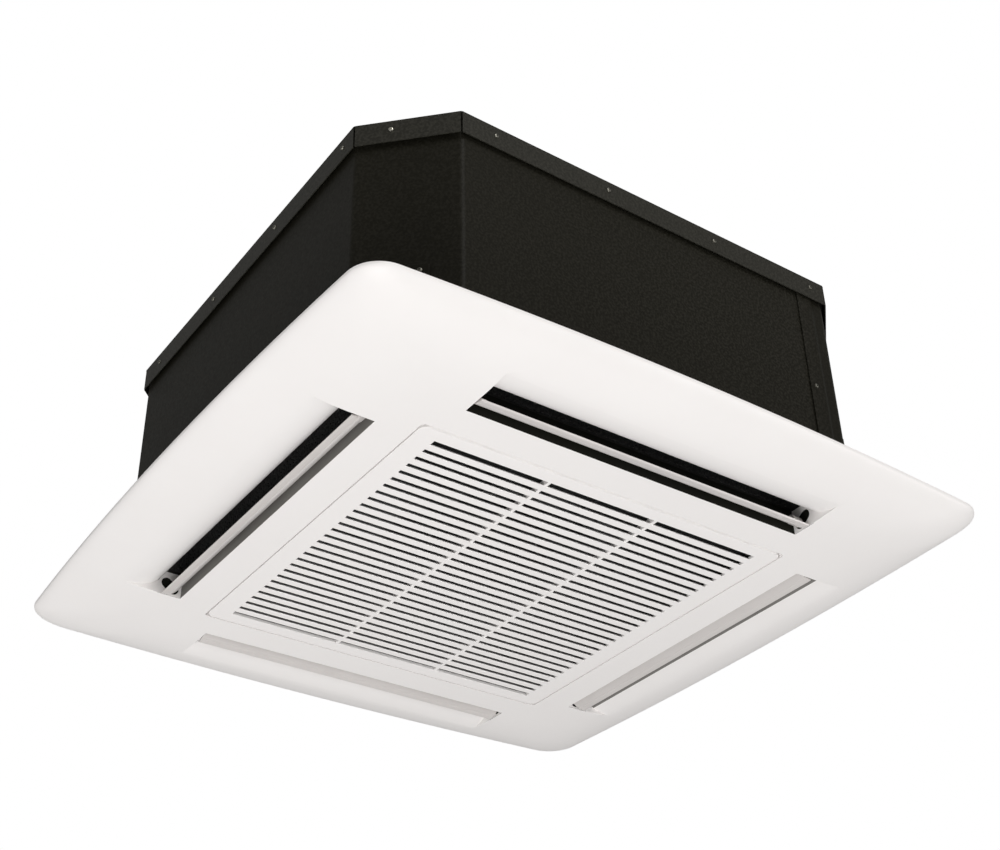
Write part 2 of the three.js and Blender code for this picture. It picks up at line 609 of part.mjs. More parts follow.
// ---------------------------------------------------------------- intake grille and filter
function intakeGrille() {
  const block = prism(roundedSquare(GRILLE_HALF, GRILLE_RADIUS), FLAT, GRILLE_TOP);
  const tray = roundedSquare(GRILLE_HALF - GRILLE_WALL, GRILLE_RADIUS / 2);
  const hollow = prism(tray, PLATE_BACK, GRILLE_TOP + 1);
  const slotFace = (SLOT_PITCH - SLAT_FACE) / 2;
  const slotBack = slotFace + SLAT_TAPER / 2;
  const section = [[-slotFace, FLAT - 0.01], [slotFace, FLAT - 0.01],
    [slotBack, PLATE_BACK + 0.01], [-slotBack, PLATE_BACK + 0.01]];
  const slots = [];
  for (let i = 0; i < SLOT_COUNT; i += 1) {
    const x = (i - (SLOT_COUNT - 1) / 2) * SLOT_PITCH;
    slots.push(alongY(section, -SLOT_HALF_LENGTH, SLOT_HALF_LENGTH).translate(x, 0, 0));
  }
  let grille = solid(block).subtract(solid(hollow));
  for (const slot of slots) grille = grille.subtract(solid(slot));
  const third = SLOT_HALF_LENGTH / 3;
  const ribReach = GRILLE_HALF - GRILLE_WALL + 1;
  for (const y of [-third, third]) {
    grille = grille.add(solid(box(-ribReach, ribReach, y - CROSS_RIB / 2, y + CROSS_RIB / 2,
      PLATE_BACK - 0.6, PLATE_BACK + CROSS_RIB_HEIGHT)));
  }
  const edge = GRILLE_HALF - SWING_CHAMFER;
  const chamfers = [[[edge - 1, FLAT - 1], [GRILLE_HALF + 1, FLAT - 1],
    [GRILLE_HALF + 1, FLAT + SWING_CHAMFER + 1]], [[edge - 1, GRILLE_TOP + 1],
    [GRILLE_HALF + 1, GRILLE_TOP - SWING_CHAMFER - 1], [GRILLE_HALF + 1, GRILLE_TOP + 1]]];
  for (const chamfer of chamfers) {
    grille = grille.subtract(solid(alongY(chamfer, -GRILLE_HALF - 1, GRILLE_HALF + 1)));
  }
  const { x, z } = grilleHingeAxis();
  const pinEnd = OPENING_HALF + SKIN - FIT;
  for (const side of [-1, 1]) {
    const ends = [side * (GRILLE_HALF - 2), side * pinEnd];
    const pin = pinAlongY(HINGE_PIN_RADIUS, Math.min(...ends), Math.max(...ends), 10, x, z);
    grille = grille.add(solid(pin));
    const y = side * TAB_SPREAD;
    grille = grille.add(solid(box(-GRILLE_HALF + FIT, -GRILLE_HALF + FIT + TAB_THICKNESS,
      y - TAB_WIDTH / 2, y + TAB_WIDTH / 2, GRILLE_TOP - 1, GRILLE_TOP + TAB_HEIGHT)));
  }
  return surface(grille);
}

// A spring clip folded over the grille's tab, standing on the ledge.
function grilleClip(y) {
  const tabOuter = -GRILLE_HALF + FIT;
  const tabInner = tabOuter + TAB_THICKNESS;
  const top = GRILLE_TOP + TAB_HEIGHT + CLIP_GRIP;
  const foot = LEDGE_TOP + FIT;
  const back = -OPENING_HALF + CLIP_GRIP;
  const front = tabInner + CLIP_GRIP;
  const toe = -OPENING_HALF + LEDGE_WIDTH;
  const section = [[back, foot], [back, top + CLIP_SHEET], [front + CLIP_SHEET, top + CLIP_SHEET],
    [front + CLIP_SHEET, foot + CLIP_SHEET], [toe, foot + CLIP_SHEET], [toe, foot],
    [front, foot], [front, top], [tabOuter - CLIP_GRIP, top], [tabOuter - CLIP_GRIP, foot]];
  const half = TAB_WIDTH / 2 + CLIP_MARGIN;
  return alongY(section, y - half, y + half);
}

function airFilter() {
  const top = FILTER_BOTTOM + FILTER_HEIGHT;
  const inner = FILTER_HALF - FILTER_RIM;
  const pitch = (2 * inner + FILTER_BAR) / FILTER_CELLS;
  const cell = pitch - FILTER_BAR;
  const cells = [];
  for (let i = 0; i < FILTER_CELLS; i += 1) {
    for (let j = 0; j < FILTER_CELLS; j += 1) {
      const x = -inner + i * pitch;
      const y = -inner + j * pitch;
      cells.push(box(x, x + cell, y, y + cell, FILTER_BOTTOM - 1, top + 1));
    }
  }
  return carve([prism(roundedSquare(FILTER_HALF, FILTER_BAR), FILTER_BOTTOM, top)], cells);
}

// ---------------------------------------------------------------- air vanes
// Drawn for the right side, level, with its pivot on the Y axis; it is then tilted and placed.
const VANE_STEPS = 5;
function airVane() {
  const upper = [];
  const lower = [];
  const chord = VANE_INNER_REACH + VANE_OUTER_REACH;
  for (let i = 0; i <= VANE_STEPS; i += 1) {
    const t = i / VANE_STEPS;
    const bulge = 4 * t * (1 - t);
    const middle = -VANE_CAMBER * bulge;
    const half = (VANE_EDGE + (VANE_THICKNESS - VANE_EDGE) * bulge) / 2;
    const u = -VANE_INNER_REACH + chord * t;
    upper.push([u, middle + half]);
    lower.push([u, middle - half]);
  }
  const blade = alongY([...lower, ...upper.reverse()], -VANE_HALF_LENGTH, VANE_HALF_LENGTH);
  const bossLength = VANE_SOCKET_DEPTH + 3;
  const end = VANE_HALF_LENGTH;
  const bosses = [pinAlongY(VANE_BOSS_RADIUS, end - bossLength, end, 8, 0, 0),
    pinAlongY(VANE_PIN_RADIUS, -end - VANE_END_GAP - SKIN + FIT, -end + 1, 8, 0, 0)];
  const socket = pinAlongY(VANE_PIN_RADIUS + FIT, end - VANE_SOCKET_DEPTH, end + 1, 8, 0, 0);
  return carve([blade, ...bosses], [socket]);
}

function vaneShaft() {
  const from = VANE_HALF_LENGTH - VANE_SOCKET_DEPTH + FIT;
  const to = OUTLET_HALF_LENGTH + SKIN + FIT + STEPPER_LENGTH / 2;
  return pinAlongY(VANE_PIN_RADIUS, from, to, 8, 0, 0);
}

function vaneMotor() {
  const near = OUTLET_HALF_LENGTH + SKIN + FIT;
  const can = pinAlongY(STEPPER_RADIUS, near, near + STEPPER_LENGTH, 16, 0, STEPPER_OFFSET);
  const bar = box(-STEPPER_EAR_SPREAD, STEPPER_EAR_SPREAD, near, near + SHEET,
    STEPPER_OFFSET - STEPPER_EAR_RADIUS, STEPPER_OFFSET + STEPPER_EAR_RADIUS);
  const ears = [-1, 1].map((side) => pinAlongY(STEPPER_EAR_RADIUS, near, near + SHEET, 8,
    side * STEPPER_EAR_SPREAD, STEPPER_OFFSET));
  const bore = pinAlongY(VANE_PIN_RADIUS + FIT, near - 1, near + STEPPER_LENGTH / 2 + FIT, 8, 0, 0);
  return carve([can, bar, ...ears], [bore]);
}

// ---------------------------------------------------------------- casing
// Half of the eight-sided wall: it starts flush under the other sheet's end and finishes
// with a strip folded over that sheet, so two alike, half a turn apart, close the casing.
function casingWrap(cuts) {
  const short = CASING_HALF - CASING_CHAMFER;
  const step = SHEET + FIT;
  const joggle = -short + BEND_RADIUS * 1.6;
  const wall = [[CASING_HALF, -joggle - JOGGLE_RUN - FIT], [CASING_HALF, -short], [short, -CASING_HALF],
    [-short, -CASING_HALF], [-CASING_HALF, -short], [-CASING_HALF, joggle],
    [-CASING_HALF - step, joggle + JOGGLE_RUN], [-CASING_HALF - step, SEAM_OVERLAP - short]];
  const path = bent(wall, BEND_RADIUS).reverse();
  const sheet = prism(strip(path, SHEET), CASING_BOTTOM, LID_BOTTOM - FIT);
  return carve([sheet], cuts);
}

function topCover() {
  const outer = CASING_HALF + 2 * (SHEET + FIT) + SHEET;
  const skirt = prism(shapeOf(octagon(outer)), CASING_TOP - LID_FLANGE, CASING_TOP);
  const inside = prism(shapeOf(octagon(outer - SHEET)), CASING_TOP - LID_FLANGE - 1, LID_BOTTOM);
  const dish = post(LID_RECESS_RADIUS, CASING_TOP - LID_RECESS_DEPTH - SHEET, CASING_TOP, 28);
  const hollow = post(LID_RECESS_RADIUS - SHEET, CASING_TOP - LID_RECESS_DEPTH, CASING_TOP + 1, 28);
  const shell = solid(skirt).subtract(solid(inside)).add(solid(dish)).subtract(solid(hollow));
  return surface(shell);
}

function wallInsulation(cuts) {
  const shape = shapeOf(octagon(PAN_HALF));
  shape.holes.push(shapeOf(octagon(LINER_INNER)));
  return carve([prism(shape, PAN_TOP + FIT, LID_BOTTOM - LINER - 2 * FIT)], cuts);
}

function topInsulation() {
  const shape = shapeOf(octagon(PAN_HALF));
  const hole = new THREE.Path().absarc(0, 0, LID_RECESS_RADIUS + 2, 0, FULL_TURN, true);
  shape.holes.push(hole);
  return carve([prism(shape, LID_BOTTOM - LINER - FIT, LID_BOTTOM - FIT, 24)]);
}

// ---------------------------------------------------------------- drain pan, bell mouth and coil
function drainPan() {
  const slab = prism(shapeOf(octagon(PAN_HALF)), PAN_BOTTOM, PAN_TOP);
  const trough = roundedSquare(COIL_CENTRE + TROUGH_HALF_WIDTH, COIL_RADIUS);
  trough.holes.push(roundedSquare(COIL_CENTRE - TROUGH_HALF_WIDTH, COIL_RADIUS - COIL_THICKNESS + 4));
  const outlet = box(OUTLET_INNER, OUTLET_OUTER, -OUTLET_HALF_LENGTH, OUTLET_HALF_LENGTH,
    PAN_BOTTOM - 1, PAN_TOP + 1);
  const boxRoom = box(-BOX_LENGTH / 2 - 2, BOX_LENGTH / 2 + 2, BOX_FRONT - 2, BOX_BACK + 2,
    PAN_BOTTOM - 1, BOX_TOP + FIT);
  const sump = post(PUMP_RADIUS, SUMP_FLOOR, PAN_TOP + 1, 20, ...PUMP_PLACE);
  return carve([slab], [prism(trough, PAN_FLOOR, PAN_TOP + 1, 5), ...allSides(outlet), boxRoom, sump,
    post(MOUTH_HOLE, PAN_BOTTOM - 1, PAN_TOP + 1, 32)]);
}

function bellMouth() {
  const flangeTop = PAN_BOTTOM - FIT;
  const flare = [];
  const steps = 4;
  const spread = MOUTH_HOLE - MOUTH_THROAT - MOUTH_WALL - 1;
  for (let i = 0; i <= steps; i += 1) {
    const angle = (Math.PI / 2) * (i / steps);
    flare.push([MOUTH_THROAT + spread * (1 - Math.sin(angle)),
      flangeTop - MOUTH_WALL + MOUTH_HEIGHT * 0.72 * (1 - Math.cos(angle))]);
  }
  const lipTop = flangeTop + MOUTH_HEIGHT;
  const inside = [[MOUTH_FLANGE, flangeTop - MOUTH_WALL], ...flare, [MOUTH_THROAT, lipTop]];
  const outside = [[MOUTH_THROAT + MOUTH_WALL, lipTop],
    ...flare.slice(1).reverse().map(([r, z]) => [r + MOUTH_WALL, z + MOUTH_WALL / 2]),
    [MOUTH_HOLE - FIT, flangeTop], [MOUTH_FLANGE, flangeTop]];
  const ring = [...inside, ...outside];
  return lathe([...ring, ring[0]], 30);
}

function coilPath() {
  const c = COIL_CENTRE;
  return bent([[-COIL_END, c + COIL_THICKNESS / 2], [c + COIL_THICKNESS / 2, c + COIL_THICKNESS / 2],
    [c + COIL_THICKNESS / 2, -c - COIL_THICKNESS / 2], [-c - COIL_THICKNESS / 2, -c - COIL_THICKNESS / 2],
    [-c - COIL_THICKNESS / 2, COIL_END]], COIL_RADIUS, 6);
}

function coilFinPack() {
  return prism(strip(coilPath().reverse(), COIL_THICKNESS), COIL_BOTTOM, COIL_TOP);
}

// End plate at the back side's end of the coil, with the copper return bends standing out of it.
function coilEndPlate() {
  const face = -COIL_END - FIT;
  const plate = box(face - END_PLATE, face, COIL_INNER - END_PLATE_LIP, COIL_OUTER + END_PLATE_LIP,
    COIL_BOTTOM, COIL_TOP);
  const rows = [COIL_CENTRE - COIL_THICKNESS / 4, COIL_CENTRE + COIL_THICKNESS / 4];
  const bends = [];
  for (let i = 0; i < BEND_PAIRS; i += 1) {
    const y = rows[i % 2];
    const z = COIL_BOTTOM + TUBE_PITCH * (1 + 2 * i);
    const out = face - END_PLATE;
    const start = out - BEND_REACH * 0.3;
    const round = out - BEND_REACH * 0.85;
    bends.push(tube([[out + 1, y, z], [start, y, z], [round, y, z + TUBE_PITCH * 0.25],
      [out - BEND_REACH, y, z + TUBE_PITCH * 0.5], [round, y, z + TUBE_PITCH * 0.75],
      [start, y, z + TUBE_PITCH], [out + 1, y, z + TUBE_PITCH]], TUBE_RADIUS, 5, 6));
  }
  return carve([plate, ...bends]);
}

// ---------------------------------------------------------------- fan and motor
function bladeSection() {
  const front = [];
  const rear = [];
  const steps = 5;
  for (let i = 0; i <= steps; i += 1) {
    const t = i / steps;
    const radius = BLADE_INNER + (FAN_RADIUS - BLADE_SETBACK - BLADE_INNER) * t;
    const angle = THREE.MathUtils.degToRad(BLADE_SWEEP * t ** 1.3 - MID_BLADE_ANGLE);
    const thickness = BLADE_TIP + (BLADE_THICKNESS - BLADE_TIP) * Math.sin(Math.PI * t ** 0.7);
    const half = thickness / 2 / radius;
    front.push([radius * Math.cos(angle + half), radius * Math.sin(angle + half)]);
    rear.push([radius * Math.cos(angle - half), radius * Math.sin(angle - half)]);
  }
  return [...front, ...rear.reverse()];
}

// Underside of the shroud in (radius, height) from the fan's eye (t = 0) to its rim (t = 1).
function shroudPoint(t) {
  const eye = FAN_BOTTOM + SHROUD_STEP;
  const radius = FAN_INLET + FAN_DEPTH * (1 - Math.cos((Math.PI / 2) * t));
  return [radius, eye + (FAN_SHROUD_TOP - eye) * t ** 0.8];
}

const SHROUD_STEPS = 4;
function fanShroud() {
  const inside = [[FAN_INLET, FAN_BOTTOM]];
  const outside = [[FAN_INLET + FAN_WALL, FAN_BOTTOM]];
  for (let i = 0; i <= SHROUD_STEPS; i += 1) {
    const [radius, height] = shroudPoint(i / SHROUD_STEPS);
    inside.push([radius, height + (i > 0 ? FAN_WALL : 0)]);
    outside.push([radius + (i < SHROUD_STEPS ? FAN_WALL : 0), height]);
  }
  const ring = [...outside, ...inside.reverse()];
  return lathe([...ring, ring[0]], FAN_SIDES);
}

function fanHub() {
  const w = FAN_WALL;
  const foot = FAN_BACK - HUB_FOOT * 1.5;
  const lower = [[SHAFT_RADIUS + FIT, BOSS_END], [BOSS_RADIUS, BOSS_END], [BOSS_RADIUS, HUB_BOTTOM],
    [HUB_RADIUS - HUB_SHOULDER, HUB_BOTTOM + HUB_DOME], [HUB_RADIUS - HUB_DOME, HUB_BOTTOM + HUB_SHOULDER],
    [HUB_RADIUS, foot], [HUB_RADIUS + HUB_FOOT, FAN_BACK], [FAN_RADIUS, FAN_BACK]];
  const upper = [[FAN_RADIUS, FAN_BACK + w], [HUB_RADIUS + HUB_FOOT - w, FAN_BACK + w],
    [HUB_RADIUS - w, foot + w / 2], [HUB_RADIUS - HUB_DOME - w, HUB_BOTTOM + HUB_SHOULDER + w],
    [HUB_RADIUS - HUB_SHOULDER - w / 2, HUB_BOTTOM + HUB_DOME + w], [SHAFT_RADIUS + FIT, HUB_BOTTOM + w]];
  const ring = [...lower, ...upper];
  return lathe([...ring, ring[0]], FAN_SIDES);
}

function turboFan() {
  const blade = prism(shapeOf(bladeSection()), FAN_BOTTOM, FAN_BACK + 1);
  const past = FAN_RADIUS + 5;
  const below = [[0, FAN_BOTTOM - 1], [past, FAN_BOTTOM - 1], [past, FAN_SHROUD_TOP + 1]];
  for (let i = SHROUD_STEPS; i >= 0; i -= 1) {
    const [radius, height] = shroudPoint(i / SHROUD_STEPS);
    below.push([radius, height + 1]);
  }
  below.push([0, FAN_BOTTOM + SHROUD_STEP + 1]);
  const trimmed = solid(blade).subtract(solid(lathe([...below, below[0]], FAN_SIDES)));
  let fan = solid(fanHub()).add(solid(fanShroud()));
  const one = surface(trimmed);
  for (let i = 0; i < FAN_BLADES; i += 1) {
    fan = fan.add(solid(one.clone().rotateZ((i / FAN_BLADES) * FULL_TURN)));
  }
  return surface(fan);
}

const SHAFT_SOCKET = 12;
function motorShaft() {
  return post(SHAFT_RADIUS, BOSS_END - NUT_HEIGHT - 2, MOTOR_BOTTOM + SHAFT_SOCKET, 16);
}

function fanNut() {
  const top = BOSS_END - FIT;
  const hex = post(NUT_ACROSS, top - NUT_HEIGHT, top, 6);
  const washer = post(NUT_WASHER, top - NUT_HEIGHT / 4, top, 20);
  return carve([hex, washer], [post(SHAFT_RADIUS + FIT, top - NUT_HEIGHT - 1, top + 1, 16)]);
}

function earPlaces() {
  return Array.from({ length: EAR_COUNT }, (_, i) => {
    const angle = (i / EAR_COUNT) * FULL_TURN + Math.PI / 2;
    return [EAR_CIRCLE * Math.cos(angle), EAR_CIRCLE * Math.sin(angle), angle];
  });
}

function fanMotor() {
  const neckTop = MOTOR_BOTTOM + MOTOR_NECK_HEIGHT;
  const can = lathe([[0, MOTOR_BOTTOM], [MOTOR_NECK - 2, MOTOR_BOTTOM], [MOTOR_NECK, neckTop],
    [MOTOR_RADIUS - MOTOR_NECK_HEIGHT, neckTop + 4], [MOTOR_RADIUS, MOTOR_BOTTOM + MOTOR_SHOULDER],
    [MOTOR_RADIUS, MOTOR_TOP - MOTOR_ROUND], [MOTOR_RADIUS - MOTOR_ROUND, MOTOR_TOP], [0, MOTOR_TOP]], 22);
  const [low, high] = [MOTOR_EAR_LEVEL, MOTOR_EAR_LEVEL + EAR_THICKNESS];
  const arms = earPlaces().flatMap(([x, y, angle]) => [
    post(EAR_RADIUS, low, high, 12, x, y),
    box(MOTOR_RADIUS - MOTOR_ROUND, EAR_CIRCLE, -EAR_RADIUS, EAR_RADIUS, low, high).rotateZ(angle)]);
  const bore = post(SHAFT_RADIUS + FIT, MOTOR_BOTTOM - 1, MOTOR_BOTTOM + SHAFT_SOCKET + FIT, 16);
  return carve([can, ...arms], [bore]);
}

// Rubber block between a motor ear and the hanging bracket, waisted in the middle.
function motorIsolator(x, y) {
  const bottom = MOTOR_EAR_LEVEL + EAR_THICKNESS + FIT;
  const top = bottom + ISOLATOR_HEIGHT;
  const waist = ISOLATOR_RADIUS - ISOLATOR_WAIST;
  const lip = ISOLATOR_LIP;
  return lathe([[0, bottom], [ISOLATOR_RADIUS, bottom], [ISOLATOR_RADIUS, bottom + lip],
    [waist, bottom + lip * 1.5], [waist, top - lip * 1.5], [ISOLATOR_RADIUS, top - lip],
    [ISOLATOR_RADIUS, top], [0, top]], 10).translate(x, y, 0);
}

// Ring plate over the motor with three straps up to the lid's dished middle.
function motorBracket() {
  const bottom = MOTOR_EAR_LEVEL + EAR_THICKNESS + ISOLATOR_HEIGHT + 2 * FIT;
  const top = CASING_TOP - LID_RECESS_DEPTH - SHEET - FIT;
  const ring = new THREE.Shape().absarc(0, 0, EAR_CIRCLE + EAR_RADIUS, 0, FULL_TURN);
  ring.holes.push(new THREE.Path().absarc(0, 0, MOTOR_RADIUS + 2, 0, FULL_TURN, true));
  const plate = prism(ring, bottom, bottom + BRACKET_SHEET, 10);
  const outer = EAR_CIRCLE + EAR_RADIUS;
  const straps = earPlaces().map(([, , angle]) => {
    const knee = outer + STRAP_FOOT;
    const heel = outer - STRAP_FOOT;
    const section = [[heel + BRACKET_SHEET, bottom], [knee + BRACKET_SHEET, top - BRACKET_SHEET],
      [STRAP_TOE, top - BRACKET_SHEET], [STRAP_TOE, top], [knee, top],
      [heel, bottom + BRACKET_SHEET], [heel, bottom]];
    return alongY(section, -STRAP_HALF, STRAP_HALF).rotateZ(angle + Math.PI / EAR_COUNT);
  });
  return carve([plate, ...straps]);
}

// ---------------------------------------------------------------- services
function gasPipe() {
  const [x, z] = GAS_EXIT;
  const start = -COIL_END - FIT - END_PLATE - FIT;
  const y = COIL_CENTRE - COIL_THICKNESS / 4;
  const rise = z + PIPE_RISE;
  return tube([[start, y, rise], [start - PIPE_STUB, y, rise], [x + PIPE_STUB * 0.8, y + 1, rise - 2],
    [x, y + PIPE_RISE * 0.9, z + PIPE_RISE * 0.4], [x, y + PIPE_RISE * 1.9, z], [x, CASING_HALF, z],
    [x, CASING_HALF + PIPE_REACH, z]], GAS_RADIUS, 8, 15);
}

function liquidPipe() {
  const [x, z] = LIQUID_EXIT;
  const start = -COIL_END - FIT - END_PLATE - FIT;
  const y = COIL_OUTER - 2;
  const rise = z + PIPE_RISE - 2;
  return tube([[start, y, rise], [start - PIPE_STUB * 0.4, y, rise], [x - 3, y + PIPE_RISE * 0.3, rise - 2],
    [x - 2, y + PIPE_RISE * 0.9, z + PIPE_RISE * 0.25], [x, y + PIPE_RISE * 1.75, z], [x, CASING_HALF, z],
    [x, CASING_HALF + PIPE_REACH, z]], LIQUID_RADIUS, 6, 16);
}

function flareNut([x, z], pipeRadius) {
  const y = CASING_HALF + PIPE_REACH - NUT_LENGTH - 2;
  const flats = pipeRadius * NUT_FLATS;
  const hex = pinAlongY(flats, y, y + NUT_LENGTH * 0.6, 6, x, z);
  const barrel = pinAlongY(flats * 0.84, y, y + NUT_LENGTH, 16, x, z);
  return carve([hex, barrel], [pinAlongY(pipeRadius + FIT, y - 1, y + NUT_LENGTH + 1, 16, x, z)]);
}

function pipePlateSides() {
  const left = GAS_EXIT[0] - PLATE_MARGIN - GAS_RADIUS;
  const right = LIQUID_EXIT[0] + PLATE_MARGIN + LIQUID_RADIUS;
  const low = LIQUID_EXIT[1] - PLATE_MARGIN - LIQUID_RADIUS;
  const high = GAS_EXIT[1] + PLATE_MARGIN + GAS_RADIUS;
  return [left, right, low, high];
}

function pipePlate() {
  const [left, right, low, high] = pipePlateSides();
  const near = CASING_HALF + FIT;
  const holes = [[GAS_EXIT, GAS_RADIUS], [LIQUID_EXIT, LIQUID_RADIUS]].map(([[x, z], radius]) => (
    pinAlongY(radius + RUNNING, near - 1, near + SHEET + 1, 16, x, z)));
  return carve([box(left, right, near, near + SHEET, low, high)], holes);
}

// Openings that the services need through the back and left walls and their lining.
function serviceCuts() {
  const [left, right, low, high] = pipePlateSides();
  const margin = PLATE_MARGIN / 2;
  const wall = [LINER_INNER - 2, CASING_HALF + SERVICE_ROOM];
  return [box(left + margin, right - margin, ...wall, low + margin, high - margin),
    pinAlongX(DRAIN_RADIUS + RUNNING, -wall[1], -wall[0], 20, ...DRAIN_EXIT),
    pinAlongX(GROMMET_RADIUS - 2, -wall[1], -wall[0], 20, ...GROMMET_PLACE)];
}

function drainSpout() {
  const [y, z] = DRAIN_EXIT;
  const outside = -CASING_HALF - DRAIN_REACH;
  const inside = -LINER_INNER + SERVICE_ROOM;
  const seat = -CASING_HALF - FIT;
  const pipe = pinAlongX(DRAIN_RADIUS, outside, inside, 16, y, z);
  const collar = pinAlongX(DRAIN_RADIUS + DRAIN_COLLAR, seat - DRAIN_COLLAR * 0.75, seat, 16, y, z);
  return carve([pipe, collar], [pinAlongX(DRAIN_RADIUS - DRAIN_WALL, outside - 1, inside + 1, 12, y, z)]);
}

// Pump that lifts the condensate: suction foot, impeller housing, motor can and outlet nipple.
const PUMP_FOOT = SUMP_FLOOR + SUMP_DEPTH / 2;
const PUMP_TOP = PAN_TOP + PUMP_HEIGHT;
const PUMP_HOUSING = PUMP_TOP - 58;
const PUMP_OUTLET = PUMP_HOUSING + PUMP_HOUSING_HEIGHT / 2;
function drainPump() {
  const [x, y] = PUMP_PLACE;
  const can = PUMP_RADIUS - PUMP_STEP;
  const housingTop = PUMP_HOUSING + PUMP_HOUSING_HEIGHT;
  const body = lathe([[0, PUMP_FOOT], [PUMP_SUCTION, PUMP_FOOT],
    [PUMP_SUCTION + 2, PUMP_HOUSING - PUMP_STEP], [PUMP_RADIUS, PUMP_HOUSING],
    [PUMP_RADIUS, housingTop], [can, housingTop + PUMP_STEP - 1],
    [can, PUMP_TOP - PUMP_STEP + 1], [can - PUMP_STEP, PUMP_TOP], [0, PUMP_TOP]], 16).translate(x, y, 0);
  const nipple = pinAlongX(NIPPLE_RADIUS, x - PUMP_RADIUS - NIPPLE_REACH, x, 12, y, PUMP_OUTLET);
  return carve([body, nipple]);
}

const PUMP_BRACKET_SHEET = 1.6;
const PUMP_BRACKET_DROP = 24;
function pumpBracket() {
  const [x, y] = PUMP_PLACE;
  const level = PUMP_TOP + FIT;
  const wallGap = chamferDistance(LINER_INNER) - FIT;
  const centre = Math.hypot(x, y);
  const top = level + PUMP_BRACKET_SHEET;
  const wall = wallGap - centre;
  const tongue = box(-PUMP_RADIUS, PUMP_RADIUS, wall - PUMP_BRACKET_SHEET, wall,
    level - PUMP_BRACKET_DROP, top);
  const shelf = box(-PUMP_RADIUS, PUMP_RADIUS, -PUMP_RADIUS + 2, wall, level, top);
  return carve([shelf, tongue].map((part) => part.rotateZ(Math.PI / 4).translate(x, y, 0)));
}

function drainHose() {
  const [x, y] = PUMP_PLACE;
  const [ey, ez] = DRAIN_EXIT;
  const start = x - PUMP_RADIUS - NIPPLE_REACH - FIT;
  const end = -LINER_INNER + SERVICE_ROOM + FIT;
  const r = HOSE_RADIUS;
  return tube([[start, y, PUMP_OUTLET], [start - r * 0.7, y, PUMP_OUTLET],
    [start - r * 1.4, y - r * 0.4, PUMP_OUTLET + r], [start - r * 1.9, y - r * 1.1, PUMP_OUTLET + r * 3.5],
    [start - r * 1.4, ey, ez - r * 5.7], [end + r * 3.1, ey, ez - r * 1.7], [end + r * 1.7, ey, ez],
    [end, ey, ez]], r, 8, 15);
}

const STEM_HEAD = 9;
const STEM_FOOT = 5;
const STEM_RADIUS = 2.5;
const STEM_TOP = PAN_TOP + 22;
const STEM_FOOT_TOP = PAN_FLOOR + 2;
const FLOAT_HEIGHT = 12;
function floatStem() {
  const [x, y] = FLOAT_PLACE;
  const stem = post(STEM_RADIUS, PAN_FLOOR + FIT, STEM_TOP, 12, x, y);
  const head = post(STEM_HEAD, STEM_TOP - 6, STEM_TOP + 4, 16, x, y);
  const foot = post(STEM_FOOT, PAN_FLOOR + FIT, STEM_FOOT_TOP, 12, x, y);
  return carve([stem, head, foot]);
}

function float() {
  const [x, y] = FLOAT_PLACE;
  const bottom = STEM_FOOT_TOP + FIT;
  const top = bottom + FLOAT_HEIGHT;
  return carve([post(FLOAT_RADIUS, bottom, top, 16, x, y)],
    [post(STEM_RADIUS + FIT, bottom - 1, top + 1, 12, x, y)]);
}

function cableGrommet() {
  const [y, z] = GROMMET_PLACE;
  const outer = -CASING_HALF - FIT;
  const inner = outer + 2 * FIT + SHEET;
  const neck = pinAlongX(GROMMET_RADIUS - 2 - FIT, outer - 1, inner + 1, 14, y, z);
  const lip = pinAlongX(GROMMET_RADIUS, outer - GROMMET_LIP, outer, 14, y, z);
  return carve([neck, lip], [pinAlongX(GROMMET_RADIUS - 5, outer - GROMMET_LIP - 1, inner + 2, 10, y, z)]);
}

// Steel tray for the electrics, open underneath, closed by its own lid.
function controlBox() {
  const half = BOX_LENGTH / 2;
  const tray = box(-half, half, BOX_FRONT, BOX_BACK, BOX_BOTTOM + BOX_SHEET + FIT, BOX_TOP);
  const room = box(-half + BOX_SHEET, half - BOX_SHEET, BOX_FRONT + BOX_SHEET, BOX_BACK - BOX_SHEET,
    BOX_BOTTOM, BOX_TOP - BOX_SHEET);
  const cable = pinAlongY(CABLE_HOLE, BOX_FRONT - 1, BOX_FRONT + 3, 12,
    half - CABLE_HOLE * 4, BOX_TOP * 0.4);
  return carve([tray], [room, cable]);
}

function controlBoxLid() {
  const half = BOX_LENGTH / 2;
  const lid = box(-half, half, BOX_FRONT, BOX_BACK, BOX_BOTTOM, BOX_BOTTOM + BOX_SHEET);
  const lip = BOX_SHEET + FIT;
  const rimTop = BOX_BOTTOM + BOX_RIM;
  const rim = box(-half + lip, half - lip, BOX_FRONT + lip, BOX_BACK - lip, BOX_BOTTOM, rimTop);
  const inside = box(-half + lip + 1, half - lip - 1, BOX_FRONT + lip + 1, BOX_BACK - lip - 1,
    BOX_BOTTOM + BOX_SHEET, rimTop + 1);
  return surface(solid(lid).add(solid(rim).subtract(solid(inside))));
}

function terminalBlock() {
  const top = BOX_TOP - BOX_SHEET - FIT;
  const middle = (BOX_FRONT + BOX_BACK) / 2;
  const length = TERMINAL_COUNT * TERMINAL_PITCH;
  const reach = TERMINAL_HALF * 0.75;
  const base = box(TERMINAL_START, TERMINAL_START + length, middle - TERMINAL_HALF, middle + TERMINAL_HALF,
    top - TERMINAL_HEIGHT, top);
  const cells = Array.from({ length: TERMINAL_COUNT }, (_, i) => {
    const x = TERMINAL_START + (i + 0.5) * TERMINAL_PITCH;
    return box(x - TERMINAL_PITCH / 3, x + TERMINAL_PITCH / 3, middle - reach, middle + reach,
      top - TERMINAL_HEIGHT - 1, top - TERMINAL_HEIGHT * 0.6);
  });
  return carve([base], cells);
}

